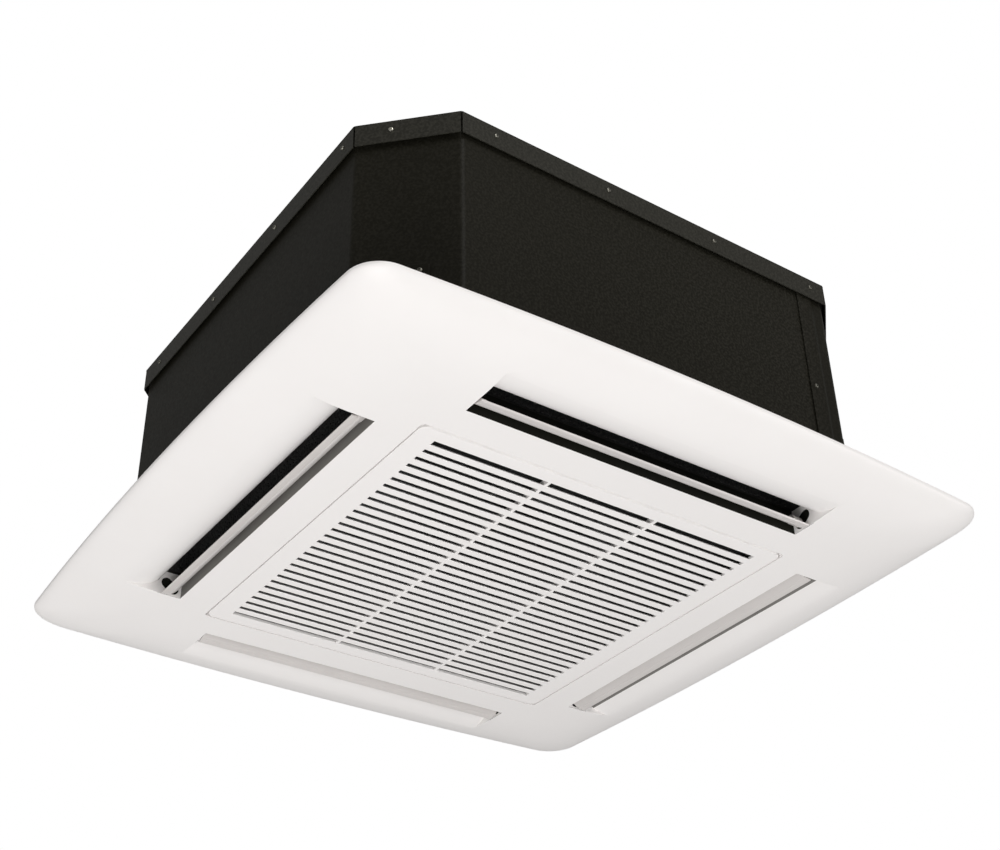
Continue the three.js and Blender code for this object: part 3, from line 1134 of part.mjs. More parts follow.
function circuitBoard() {
  const top = BOX_TOP - BOX_SHEET - FIT;
  const middle = (BOX_FRONT + BOX_BACK) / 2;
  const face = top - BOARD_LIFT + BOARD_SHEET / 2;
  const board = box(BOARD_START, BOARD_END, middle - BOARD_HALF, middle + BOARD_HALF,
    top - BOARD_LIFT, top - BOARD_LIFT + BOARD_SHEET);
  // transformer, capacitor, relay and plug: where along the board, how long and how tall
  const loads = [[0.09, 24, 14], [0.35, 16, 9], [0.55, 28, 12], [0.82, 14, 7]];
  const parts = loads.map(([share, long, tall]) => {
    const x = BOARD_START + share * BOARD_LENGTH;
    return box(x, x + long, middle - BOARD_HALF / 2, middle + BOARD_HALF * 0.4, face - tall, face);
  });
  const feet = [BOARD_START + 4, BOARD_END - 4].flatMap((x) => [-1, 1].map((side) => (
    post(2, face, top, 8, x, middle + side * BOARD_HALF * 0.75))));
  return carve([board, ...parts, ...feet]);
}

function roomThermistor() {
  const top = PAN_BOTTOM - FIT;
  const [x, y] = THERMISTOR_INSET.map((inset) => OPENING_HALF - inset);
  const [long, wide, tall] = THERMISTOR_CLIP;
  const clip = box(x - long / 2, x + long / 2, y - wide / 2, y + wide / 2, top - tall, top);
  return carve([clip, pinAlongX(THERMISTOR_BULB, x - long, x, 8, y, top - tall - 1)]);
}

function hangerBracket() {
  const face = chamferDistance(CASING_HALF) + FIT;
  const half = HANGER_WIDTH / 2;
  const leg = box(face, face + HANGER_SHEET, -half, half, EAR_LEVEL, EAR_LEVEL + HANGER_LEG);
  const ear = box(face, face + HANGER_EAR, -half, half, EAR_LEVEL, EAR_LEVEL + HANGER_SHEET);
  const slot = new THREE.Shape();
  const radius = ROD_SLOT / 2;
  const run = ROD_SLOT_LENGTH / 2 - radius;
  const centre = face + HANGER_EAR - radius - ROD_EDGE;
  slot.absarc(centre, run, radius, 0, Math.PI);
  slot.absarc(centre, -run, radius, Math.PI, FULL_TURN);
  const gussets = [-1, 1].map((side) => {
    const y = side * (half - HANGER_SHEET / 2);
    const section = [[face + 1, EAR_LEVEL + 1], [face + HANGER_EAR * GUSSET_REACH, EAR_LEVEL + 1],
      [face + 1, EAR_LEVEL + HANGER_LEG * GUSSET_RISE]];
    return alongY(section, y - HANGER_SHEET / 2, y + HANGER_SHEET / 2);
  });
  return carve([leg, ear, ...gussets], [prism(slot, EAR_LEVEL - 1, EAR_LEVEL + HANGER_SHEET + 1)]);
}

// ---------------------------------------------------------------- assembly
const unit = new THREE.Group();

function fit(name, geometry, material, parent = unit) {
  const mesh = new THREE.Mesh(facesOut(geometry), material.clone());
  mesh.name = name;
  parent.add(mesh);
  return mesh;
}

fit('fascia_panel', fasciaPanel(), FASCIA_WHITE);
fit('panel_foam_seal', foamSeal(), DARK_FOAM);
fit('intake_grille', intakeGrille(), GRILLE_WHITE);
fit('air_filter', airFilter(), FILTER_MESH);
fit('grille_clip_front', grilleClip(-TAB_SPREAD), ZINC);
fit('grille_clip_back', grilleClip(TAB_SPREAD), ZINC);

const SIDES = ['right', 'back', 'left', 'front'];
SIDES.forEach((side, turns) => {
  const frame = new THREE.Group();
  frame.rotation.z = turns * Math.PI / 2;
  unit.add(frame);
  const hinge = new THREE.Group();
  hinge.position.set(VANE_AXIS, 0, -VANE_PIVOT_DEPTH);
  frame.add(hinge);
  const vane = fit(`air_vane_${side}`, airVane(), VANE_GREY, hinge);
  const shaft = fit(`vane_shaft_${side}`, vaneShaft(), STEPPER_STEEL, hinge);
  vane.rotation.y = THREE.MathUtils.degToRad(VANE_REST_ANGLE);
  shaft.rotation.y = vane.rotation.y;
  fit(`vane_motor_${side}`, vaneMotor(), STEPPER_STEEL, hinge);
});

fit('casing_wrap_front', casingWrap([]), BLACK_SHEET);
const halfTurn = serviceCuts().map((cut) => cut.rotateZ(Math.PI));
fit('casing_wrap_back', casingWrap(halfTurn), BLACK_SHEET).rotation.z = Math.PI;
fit('top_cover', topCover(), BLACK_SHEET);
fit('wall_insulation', wallInsulation(serviceCuts()), DARK_FOAM);
fit('top_insulation', topInsulation(), DARK_FOAM);
fit('drain_pan', drainPan(), EPS_BLACK);
fit('bell_mouth', bellMouth(), MOULDED_GREY);
fit('coil_fin_pack', coilFinPack(), FIN_ALUMINIUM);
fit('coil_end_plate_back', coilEndPlate(), COPPER);
const leftPlate = coilEndPlate();
leftPlate.applyMatrix4(new THREE.Matrix4().set(0, -1, 0, 0, -1, 0, 0, 0, 0, 0, 1, 0, 0, 0, 0, 1));
fit('coil_end_plate_left', facesOut(leftPlate), COPPER);

fit('turbo_fan', turboFan(), FAN_GREY);
fit('motor_shaft', motorShaft(), ZINC);
fit('fan_nut', fanNut(), BRASS);
fit('fan_motor', fanMotor(), ZINC);
fit('motor_bracket', motorBracket(), ZINC);
earPlaces().forEach(([x, y], i) => fit(`motor_isolator_${i + 1}`, motorIsolator(x, y), RUBBER));

fit('gas_pipe', gasPipe(), COPPER);
fit('liquid_pipe', liquidPipe(), COPPER);
fit('gas_flare_nut', flareNut(GAS_EXIT, GAS_RADIUS), BRASS);
fit('liquid_flare_nut', flareNut(LIQUID_EXIT, LIQUID_RADIUS), BRASS);
fit('pipe_plate', pipePlate(), BLACK_SHEET);
fit('drain_spout', drainSpout(), MOULDED_GREY);
fit('drain_pump', drainPump(), MOULDED_GREY);
fit('pump_bracket', pumpBracket(), ZINC);
fit('drain_hose', drainHose(), RUBBER);
fit('float_stem', floatStem(), MOULDED_GREY);
fit('float', float(), FLOAT_GREY);
fit('cable_grommet', cableGrommet(), RUBBER);
fit('control_box', controlBox(), ZINC);
fit('control_box_lid', controlBoxLid(), ZINC);
fit('terminal_block', terminalBlock(), TERMINAL_CREAM);
fit('circuit_board', circuitBoard(), finish(0x2f6b3f, 0.6));
fit('room_thermistor', roomThermistor(), RUBBER);

['front_right', 'back_right', 'back_left', 'front_left'].forEach((corner, turns) => {
  fit(`hanger_bracket_${corner}`, hangerBracket(), BLACK_SHEET).rotation.z = (turns - 0.5) * Math.PI / 2;
});

export default unit;
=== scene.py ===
"""Looks of a four-way ceiling cassette air conditioner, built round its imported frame.

Lengths are in metres, in the frame's own axes: the ceiling plane is z = 0, the casing stands above it
and the fascia hangs below it. Right is +X, left is -X, back is +Y and front is -Y.
"""
import json
import math

import bmesh
import bpy
from mathutils import Matrix, Vector


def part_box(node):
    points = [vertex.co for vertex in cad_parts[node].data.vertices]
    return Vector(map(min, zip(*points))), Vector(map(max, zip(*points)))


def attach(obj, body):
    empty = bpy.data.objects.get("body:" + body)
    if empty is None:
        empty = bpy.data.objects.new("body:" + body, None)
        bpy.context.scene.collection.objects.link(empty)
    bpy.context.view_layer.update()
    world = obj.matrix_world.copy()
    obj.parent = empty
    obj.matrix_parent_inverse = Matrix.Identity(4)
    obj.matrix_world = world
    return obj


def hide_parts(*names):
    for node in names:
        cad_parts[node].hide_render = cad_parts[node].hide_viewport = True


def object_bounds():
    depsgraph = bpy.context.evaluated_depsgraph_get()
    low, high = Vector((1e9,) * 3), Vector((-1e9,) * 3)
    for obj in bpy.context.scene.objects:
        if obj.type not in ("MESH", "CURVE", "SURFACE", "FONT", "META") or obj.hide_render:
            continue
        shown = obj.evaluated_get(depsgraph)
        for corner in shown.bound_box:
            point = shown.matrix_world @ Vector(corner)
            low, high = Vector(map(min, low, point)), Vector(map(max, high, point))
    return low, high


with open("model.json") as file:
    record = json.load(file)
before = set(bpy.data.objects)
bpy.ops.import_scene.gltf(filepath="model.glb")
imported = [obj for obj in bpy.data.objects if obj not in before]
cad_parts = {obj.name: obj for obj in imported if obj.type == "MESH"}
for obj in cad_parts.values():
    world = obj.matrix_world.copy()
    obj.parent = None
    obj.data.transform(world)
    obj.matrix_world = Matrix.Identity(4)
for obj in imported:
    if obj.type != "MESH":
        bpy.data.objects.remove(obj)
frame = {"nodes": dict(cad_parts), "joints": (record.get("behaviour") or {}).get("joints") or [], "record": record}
cad_low, cad_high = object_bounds()

MM = 0.001
QUARTER = math.pi / 2
SIDES = ("right", "back", "left", "front")
CORNERS = ("front_right", "back_right", "back_left", "front_left")

# ---- sizes
PANEL_LOW, PANEL_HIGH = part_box("fascia_panel")
PANEL_HALF = PANEL_HIGH.x
FLAT = PANEL_LOW.z                      # the fascia's flat, which is also the grille's face
SKIN = 2.5 * MM
EDGE_BOW = 11.5 * MM
RIM_RADIUS = 31 * MM
RIM_LIP = 2 * MM
BORDER_FALL = 105 * MM
OPENING_HALF = 203.5 * MM
OPENING_RADIUS = 4 * MM

OUTLET_INNER = 238.5 * MM
OUTLET_OUTER = 261 * MM
OUTLET_HALF_LENGTH = 184 * MM
SCOOP_REACH = 59.5 * MM
SCOOP_TOP = 4.7 * MM
RECESS_DEPTH = 1.6 * MM
VANE_AXIS = Vector((247 * MM, 0, -17 * MM))
VANE_REST_ANGLE = math.radians(35)

GRILLE_HALF = 202 * MM
GRILLE_RADIUS = 8.25 * MM
SWING_CHAMFER = 1.2 * MM                # off the two long edges beside the grille's hinge
GRILLE_HEIGHT = 11 * MM
GRILLE_PLATE = 3.5 * MM
GRILLE_WALL = 4 * MM
SLOT_COUNT = 29
SLOT_PITCH = 13 * MM
SLAT_FACE = 4.6 * MM
SLAT_LIP = 8.3 * MM                       # the slats' rounded face, seen from below
SLAT_BACK = 2.8 * MM
SLOT_HALF_LENGTH = 181 * MM

CASING_HALF = 286 * MM
CASING_CHAMFER = 68.3 * MM
CASING_TOP = cad_high.z
SHEET = 1.2 * MM
FIT = 0.3 * MM
LID_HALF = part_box("top_cover")[1].x
LID_FLANGE = 25 * MM
LID_RECESS_RADIUS = 88 * MM
LID_RECESS_DEPTH = 4 * MM
BEND_RADIUS = 8 * MM
SEAM_FROM_CENTRE = 183 * MM
JOGGLE_RUN = 3.5 * MM

HINGE_X, _, HINGE_Z = next(j["pos_m"] for j in frame["joints"] if j["name"] == "grille_swing")
PIN_LENGTH = 5 * MM
TAB_SPREAD = 120 * MM
TAB_WIDTH = 16 * MM
DRAIN_Y, DRAIN_Z = 168 * MM, 186 * MM     # where the drain spout leaves the left side
CABLE_Y, CABLE_Z = 60 * MM, 120 * MM      # and where the cable grommet sits
PUMP_OFFSET = 183 * MM                    # of the pump from the centre, to the left and to the back
MOTOR_BORE = 4.3 * MM
MOTOR_EAR_REACH = 58 * MM


# ---- mesh helpers
def mesh_of(name, vertices, faces):
    mesh = bpy.data.meshes.new(name)
    mesh.from_pydata([tuple(v) for v in vertices], [], faces)
    mesh.validate()
    return mesh


def object_of(data):
    obj = bpy.data.objects.new(data.name, data)
    bpy.context.scene.collection.objects.link(obj)
    return obj


def outward(mesh):
    """Welds a mesh and turns its faces outwards."""
    bm = bmesh.new()
    bm.from_mesh(mesh)
    bmesh.ops.remove_doubles(bm, verts=bm.verts, dist=1e-7)
    bmesh.ops.recalc_face_normals(bm, faces=bm.faces)
    bm.to_mesh(mesh)
    bm.free()
    return mesh


def plain_mesh(obj):
    """The object's mesh with its modifiers applied."""
    depsgraph = bpy.context.evaluated_depsgraph_get()
    depsgraph.update()
    return bpy.data.meshes.new_from_object(obj.evaluated_get(depsgraph), depsgraph=depsgraph)


def baked(obj):
    """Applies every modifier of an object and returns it."""
    mesh = plain_mesh(obj)
    obj.modifiers.clear()
    obj.data = mesh
    return obj


def boolean(base, tool, operation="DIFFERENCE"):
    modifier = base.modifiers.new("boolean", "BOOLEAN")
    modifier.operation = operation
    modifier.solver = "EXACT"
    modifier.object = tool
    baked(base)
    bpy.data.objects.remove(tool)
    return base


def rounded_edges(obj, width, segments=2, angle=35):
    modifier = obj.modifiers.new("rounded edges", "BEVEL")
    modifier.width = width
    modifier.segments = segments
    modifier.limit_method = "ANGLE"
    modifier.angle_limit = math.radians(angle)
    modifier.use_clamp_overlap = False
    modifier.miter_outer = "MITER_ARC"
    return baked(obj)


def shaded(obj, angle=32):
    """Smooth shading that keeps edges sharper than `angle` crisp."""
    obj.data.polygons.foreach_set("use_smooth", [True] * len(obj.data.polygons))
    obj.data.set_sharp_from_angle(angle=math.radians(angle))
    modifier = obj.modifiers.new("even normals", "WEIGHTED_NORMAL")
    modifier.keep_sharp = True
    modifier.weight = 60
    return baked(obj)


def joined(name, objects):
    """One object from several, each keeping its own faces."""
    bm = bmesh.new()
    for obj in objects:
        bm.from_mesh(obj.data)
        bpy.data.objects.remove(obj)
    mesh = bpy.data.meshes.new(name)
    bm.to_mesh(mesh)
    bm.free()
    return object_of(mesh)


def loft(name, rings):
    """A closed solid through rings of equal count, capped at both ends."""
    count = len(rings[0])
    vertices = [point for ring in rings for point in ring]
    faces = [tuple(range(count))[::-1]]
    for r in range(len(rings) - 1):
        for i in range(count):
            a, b = r * count + i, r * count + (i + 1) % count
            faces.append((a, b, b + count, a + count))
    last = (len(rings) - 1) * count
    faces.append(tuple(range(last, last + count)))
    return object_of(outward(mesh_of(name, vertices, faces)))


def prism(name, outline, bottom, top):
    return loft(name, [[(x, y, z) for x, y in outline] for z in (bottom, top)])


def block(name, x0, x1, y0, y1, z0, z1):
    return prism(name, [(x0, y0), (x1, y0), (x1, y1), (x0, y1)], z0, z1)


def prism_along_y(name, section, y0, y1):
    """A bar along Y from a section in (x, z)."""
    return loft(name, [[(x, y, z) for x, z in section] for y in (y0, y1)])


def turned(name, profile, sides=64):
    """A closed profile of (radius, z) turned round Z; points on the axis are shared."""
    vertices, index = [], []
    for radius, z in profile:
        if radius < 1e-9:
            index.append([len(vertices)] * sides)
            vertices.append((0, 0, z))
            continue
        index.append(list(range(len(vertices), len(vertices) + sides)))
        for i in range(sides):
            a = math.tau * i / sides
            vertices.append((radius * math.cos(a), radius * math.sin(a), z))
    faces = []
    closed = profile[0][0] > 1e-9
    for k in range(len(profile) if closed else len(profile) - 1):
        low, high = index[k], index[(k + 1) % len(profile)]
        for i in range(sides):
            j = (i + 1) % sides
            face = []
            for corner in (low[i], low[j], high[j], high[i]):
                if corner not in face:
                    face.append(corner)
            if len(face) > 2:
                faces.append(tuple(face))
    return object_of(outward(mesh_of(name, vertices, faces)))


def about(axis, angle, size=4):
    return Matrix.Rotation(angle, size, axis)


def shifted(x, y, z):
    return Matrix.Translation((x, y, z))


def rod(name, radius, low, high, sides):
    """A closed cylinder round Z."""
    return turned(name, [(0, low), (radius, low), (radius, high), (0, high)], sides)


def moved(obj, matrix):
    obj.data.transform(matrix)
    obj.data.update()
    return obj


def quarter_turns(obj, name):
    """The object and its three copies a quarter turn apart, as one object."""
    copies = [obj]
    for turns in (1, 2, 3):
        mesh = obj.data.copy()
        mesh.transform(about("Z", turns * QUARTER))
        copies.append(object_of(mesh))
    return joined(name, copies)


def arc(cx, cy, radius, start, end, steps):
    return [(cx + radius * math.cos(start + (end - start) * i / steps),
             cy + radius * math.sin(start + (end - start) * i / steps)) for i in range(steps + 1)]


def rounded_square(half, radius, steps=8):
    centre = half - radius
    corners = [(centre, centre), (-centre, centre), (-centre, -centre), (centre, -centre)]
    return [point for i, (cx, cy) in enumerate(corners)
            for point in arc(cx, cy, radius, i * QUARTER, (i + 1) * QUARTER, steps)]


def octagon(half):
    short = half * (1 - CASING_CHAMFER / CASING_HALF)
    return [(half, -short), (half, short), (short, half), (-short, half),
            (-half, short), (-half, -short), (-short, -half), (short, -half)]


def bent(path, radius, steps=8):
    """Rounds the inner corners of an open path of (x, y) points."""
    points = [Vector(path[0])]
    for before, corner, after in zip(path, path[1:], path[2:]):
        corner = Vector(corner)
        back = (Vector(before) - corner).normalized()
        ahead = (Vector(after) - corner).normalized()
        reach = radius / math.tan(back.angle(ahead) / 2)
        start, end = corner + back * reach, corner + ahead * reach
        for i in range(steps + 1):
            t = i / steps
            points.append(start * (1 - t) ** 2 + corner * 2 * t * (1 - t) + end * t ** 2)
    points.append(Vector(path[-1]))
    return points


def strip(path, width):
    """The outline of a strip with its second edge `width` to the left of an open path."""
    left = []
    for i, here in enumerate(path):
        first = (here - path[i - 1]).normalized() if i else None
        second = (path[i + 1] - here).normalized() if i < len(path) - 1 else first
        first = first or second
        normal = Vector((-first.y - second.y, first.x + second.x)).normalized()
        left.append(here + normal * (width / normal.dot(Vector((-first.y, first.x)))))
    return [tuple(p) for p in [*path, *reversed(left)]]


# ---- node helpers
def node(tree, kind, inputs=None, **settings):
    """Adds a node; `inputs` maps socket names or numbers to values or to sockets to link from."""
    made = tree.nodes.new(kind)
    for key, value in settings.items():
        setattr(made, key, value)
    for key, value in (inputs or {}).items():
        if isinstance(value, bpy.types.NodeSocket):
            tree.links.new(value, made.inputs[key])
        else:
            made.inputs[key].default_value = value
    return made


def out(tree, kind, inputs=None, **settings):
    """The first output of a new node."""
    return node(tree, kind, inputs, **settings).outputs[0]


def maths(tree, operation, *values):
    return out(tree, "ShaderNodeMath", dict(enumerate(values)), operation=operation)


def along(tree, axis, value):
    return out(tree, "ShaderNodeCombineXYZ", {axis: value})


def ramp(tree, value, *limits):
    """Maps a value from the range of the first two limits to that of the last two, or to 0 to 1."""
    return out(tree, "ShaderNodeMapRange", {0: value, **dict(enumerate(limits, 1))})


def spread(tree, value, low, high):
    """Maps a value from 0 to 1 to a range."""
    return out(tree, "ShaderNodeMapRange", {0: value, 3: low, 4: high})


# ---- geometry node trees
def repeat_tree(name, **sockets):
    tree = bpy.data.node_groups.new(name, "GeometryNodeTree")
    for label, kind in (("Geometry", "Geometry"), *sockets.items(), ("Finish", "Material")):
        tree.interface.new_socket(label, in_out="INPUT", socket_type="NodeSocket" + kind)
    tree.interface.new_socket("Geometry", in_out="OUTPUT", socket_type="NodeSocketGeometry")
    return tree, tree.nodes.new("NodeGroupInput").outputs


def close_tree(tree, given, piece, points, turn=None, keep_input=True):
    """Copies the piece to the points as real faces, adds what came in and gives all one finish."""
    source = node(tree, "GeometryNodeObjectInfo", {"Object": given[piece]}, transform_space="ORIGINAL")
    inputs = {"Points": points, "Instance": source.outputs["Geometry"]}
    if turn:
        inputs["Rotation"] = turn
    copies = out(tree, "GeometryNodeInstanceOnPoints", inputs)
    real = out(tree, "GeometryNodeRealizeInstances", {"Geometry": copies})
    both = node(tree, "GeometryNodeJoinGeometry")
    if keep_input:
        tree.links.new(given["Geometry"], both.inputs[0])
    tree.links.new(real, both.inputs[0])
    inputs = {"Geometry": both.outputs[0], "Material": given["Finish"]}
    finished = out(tree, "GeometryNodeSetMaterial", inputs)
    tree.links.new(finished, tree.nodes.new("NodeGroupOutput").inputs[0])
    return tree


def row_tree():
    """Copies of a bar in a centred row along X, such as slats or the strands of a net."""
    tree, given = repeat_tree("row_of_bars", Bar="Object", Count="Int", Pitch="Float")
    span = maths(tree, "MULTIPLY", maths(tree, "SUBTRACT", given["Count"], 1.0), given["Pitch"])
    first = along(tree, "X", maths(tree, "MULTIPLY", span, -0.5))
    line = out(tree, "GeometryNodeMeshLine", {"Count": given["Count"], "Start Location": first,
                                              "Offset": along(tree, "X", given["Pitch"])})
    return close_tree(tree, given, "Bar", line)


def ring_tree():
    """Copies of a blade turned round Z at equal angles."""
    tree, given = repeat_tree("ring_of_blades", Blade="Object", Count="Int")
    line = out(tree, "GeometryNodeMeshLine", {"Count": given["Count"], "Offset": (0, 0, 0)})
    step = maths(tree, "DIVIDE", math.tau, given["Count"])
    angle = maths(tree, "MULTIPLY", out(tree, "GeometryNodeInputIndex"), step)
    return close_tree(tree, given, "Blade", line, along(tree, "Z", angle))


def screw_tree():
    """A screw on every point, its head towards the point's `facing`, its recess at a random turn."""
    tree, given = repeat_tree("screws_on_points", Screw="Object", Seed="Int")
    facing = out(tree, "GeometryNodeInputNamedAttribute", {"Name": "facing"}, data_type="FLOAT_VECTOR")
    aim = out(tree, "FunctionNodeAlignEulerToVector", {"Vector": facing}, axis="Z")
    inputs = {2: 0.0, 3: math.tau, "Seed": given["Seed"]}
    spin = node(tree, "FunctionNodeRandomValue", inputs, data_type="FLOAT").outputs[1]
    turn = out(tree, "FunctionNodeRotateEuler", {"Rotation": aim, "Axis": (0, 0, 1), "Angle": spin},
               rotation_type="AXIS_ANGLE", space="LOCAL")
    return close_tree(tree, given, "Screw", given["Geometry"], turn, keep_input=False)


def fin_tree():
    """Upright fins square to a path, one at every step along it."""
    tree, given = repeat_tree("fins_along_path", Fin="Object", Step="Float")
    path = out(tree, "GeometryNodeMeshToCurve", {"Mesh": given["Geometry"]})
    points = node(tree, "GeometryNodeCurveToPoints", {"Curve": path, "Length": given["Step"]}, mode="LENGTH")
    aim = out(tree, "FunctionNodeAlignEulerToVector", {"Vector": points.outputs["Tangent"]}, axis="X",
              pivot_axis="Z")
    return close_tree(tree, given, "Fin", points.outputs[0], aim, keep_input=False)


def grown(obj, tree, **values):
    """Runs a node tree on an object with named inputs and keeps the plain mesh; the copied piece goes."""
    modifier = obj.modifiers.new(tree.name, "NODES")
    modifier.node_group = tree
    for item in tree.interface.items_tree:
        if item.in_out == "INPUT" and item.name in values:
            modifier[item.identifier] = values[item.name]
    baked(obj)
    bpy.data.objects.remove(next(value for value in values.values() if isinstance(value, bpy.types.Object)))
    return obj


# ---- shared surface effects
def place(tree):
    return node(tree, "ShaderNodeTexCoord").outputs["Object"]


def noise(tree, scale, detail, **more):
    return out(tree, "ShaderNodeTexNoise", {"Vector": place(tree), "Scale": scale, "Detail": detail, **more})


def cells(tree, scale, **settings):
    return node(tree, "ShaderNodeTexVoronoi", {"Vector": place(tree), "Scale": scale}, **settings).outputs


def effect(name, inputs, outputs, build):
    """A group of float inputs and outputs; `build` gets the tree and its inputs and returns the outputs."""
    tree = bpy.data.node_groups.new(name, "ShaderNodeTree")
    for label, value in inputs.items():
        tree.interface.new_socket(label, in_out="INPUT", socket_type="NodeSocketFloat").default_value = value
    for label in outputs:
        tree.interface.new_socket(label, in_out="OUTPUT", socket_type="NodeSocketFloat")
    given, ends = tree.nodes.new("NodeGroupInput").outputs, tree.nodes.new("NodeGroupOutput").inputs
    for label, socket in zip(outputs, build(tree, given)):
        tree.links.new(socket, ends[label])
    return tree


def fine_grain(tree, given):
    """A moulded or coated surface: a fine height and a faint mottle."""
    fine = noise(tree, given["Scale"], 3.0)
    pits = cells(tree, given["Scale"], feature="SMOOTH_F1")["Distance"]
    height = out(tree, "ShaderNodeMix", {0: given["Pits"], 2: fine, 3: pits})
    return height, ramp(tree, noise(tree, given["Patches"], 4.0, Roughness=0.6), 0.3, 0.7)


def edge_wear(tree, given):
    """Rubbed outer edges, broken up by a fine noise."""
    sharp = ramp(tree, node(tree, "ShaderNodeNewGeometry").outputs["Pointiness"], 0.52, 0.60)
    broken = ramp(tree, noise(tree, 420.0, 5.0), 0.42, 0.62)
    return [maths(tree, "MULTIPLY", maths(tree, "MULTIPLY", sharp, broken), given["Amount"])]


def settled_dust(tree, given):
    """A thin film of dust on faces that look up."""
    normal = node(tree, "ShaderNodeSeparateXYZ", {0: node(tree, "ShaderNodeNewGeometry").outputs["Normal"]})
    upward = ramp(tree, normal.outputs["Z"], 0.55, 0.95)
    patchy = ramp(tree, noise(tree, 14.0, 6.0), 0.35, 0.7, 0.35, 1.0)
    return [maths(tree, "MULTIPLY", maths(tree, "MULTIPLY", upward, patchy), given["Amount"])]


FINE_GRAIN = effect("fine_grain", {"Scale": 900.0, "Pits": 0.4, "Patches": 9.0}, ["Height", "Mottle"],
                    fine_grain)
EDGE_WEAR = effect("edge_wear", {"Amount": 0.5}, ["Mask"], edge_wear)
SETTLED_DUST = effect("settled_dust", {"Amount": 0.3}, ["Mask"], settled_dust)
DUST_GREY = (0.33, 0.31, 0.28)


def mixed(tree, factor, *pair):
    """Two colours, each a socket or a tuple, mixed by a factor."""
    first, second = [(*colour, 1) if isinstance(colour, tuple) else colour for colour in pair]
    return node(tree, "ShaderNodeMix", {0: factor, 6: first, 7: second}, data_type="RGBA").outputs[2]


def surface(name, light, dark, rough, grain, depth, worn=None, wear=0.0, dust=0.0, metallic=0.0, pits=0.4,
            patches=9.0, specular=0.5, pattern=None):
    """A finish: two close tones, a roughness range, a fine grain, rubbed edges and dust.

    `patches` is the scale of the mottle, and `pattern` adds a mask and a height of the finish's own,
    such as spangle or foam cells."""
    material = bpy.data.materials.new(name)
    material.use_nodes = True
    tree = material.node_tree
    shader = tree.nodes["Principled BSDF"].inputs
    shader["Metallic"].default_value = metallic
    shader["Specular IOR Level"].default_value = specular

    def group(kind, **values):
        return node(tree, "ShaderNodeGroup", values, node_tree=kind).outputs

    skin = group(FINE_GRAIN, Scale=grain, Pits=pits, Patches=patches)
    tone, height = skin["Mottle"], skin["Height"]
    if pattern:
        mask, relief = pattern(tree)
        tone, height = maths(tree, "MULTIPLY", tone, mask), maths(tree, "ADD", height, relief)
    colour = mixed(tree, tone, dark, light)
    roughness = spread(tree, tone, rough[1], rough[0])
    if wear:
        colour = mixed(tree, group(EDGE_WEAR, Amount=wear)[0], colour, worn)
    if dust:
        film = group(SETTLED_DUST, Amount=dust)[0]
        colour = mixed(tree, film, colour, DUST_GREY)
        roughness = maths(tree, "MAXIMUM", roughness, film)
    bump = out(tree, "ShaderNodeBump", {"Strength": 0.6, "Distance": depth, "Height": height})
    for label, socket in (("Base Color", colour), ("Roughness", roughness), ("Normal", bump)):
        tree.links.new(socket, shader[label])
    return material


# ---- patterns of single finishes
def spangle(tree):
    grey = node(tree, "ShaderNodeSeparateColor", {0: cells(tree, 110.0)["Color"]}).outputs
    return spread(tree, grey[0], 0.45, 1.0), grey[1]


def foam_cells(tree):
    distance = cells(tree, 700.0)["Distance"]
    return spread(tree, distance, 0.5, 1.0), distance


def foam_beads(tree):
    dome = ramp(tree, cells(tree, 230.0, feature="DISTANCE_TO_EDGE")["Distance"], 0.0, 0.25)
    return spread(tree, dome, 0.6, 1.0), maths(tree, "MULTIPLY", dome, 6.0)


def drawn_lines(tree):
    """Faint lines along a drawn or extruded piece."""
    stretched = out(tree, "ShaderNodeMapping", {"Vector": place(tree), "Scale": (900, 40, 900)})
    lines = out(tree, "ShaderNodeTexNoise", {"Vector": stretched, "Scale": 1.0, "Detail": 2.0})
    return spread(tree, lines, 0.6, 1.0), lines


def flock(tree):
    fibres = noise(tree, 2600.0, 2.0)
    return spread(tree, fibres, 0.2, 1.0), fibres


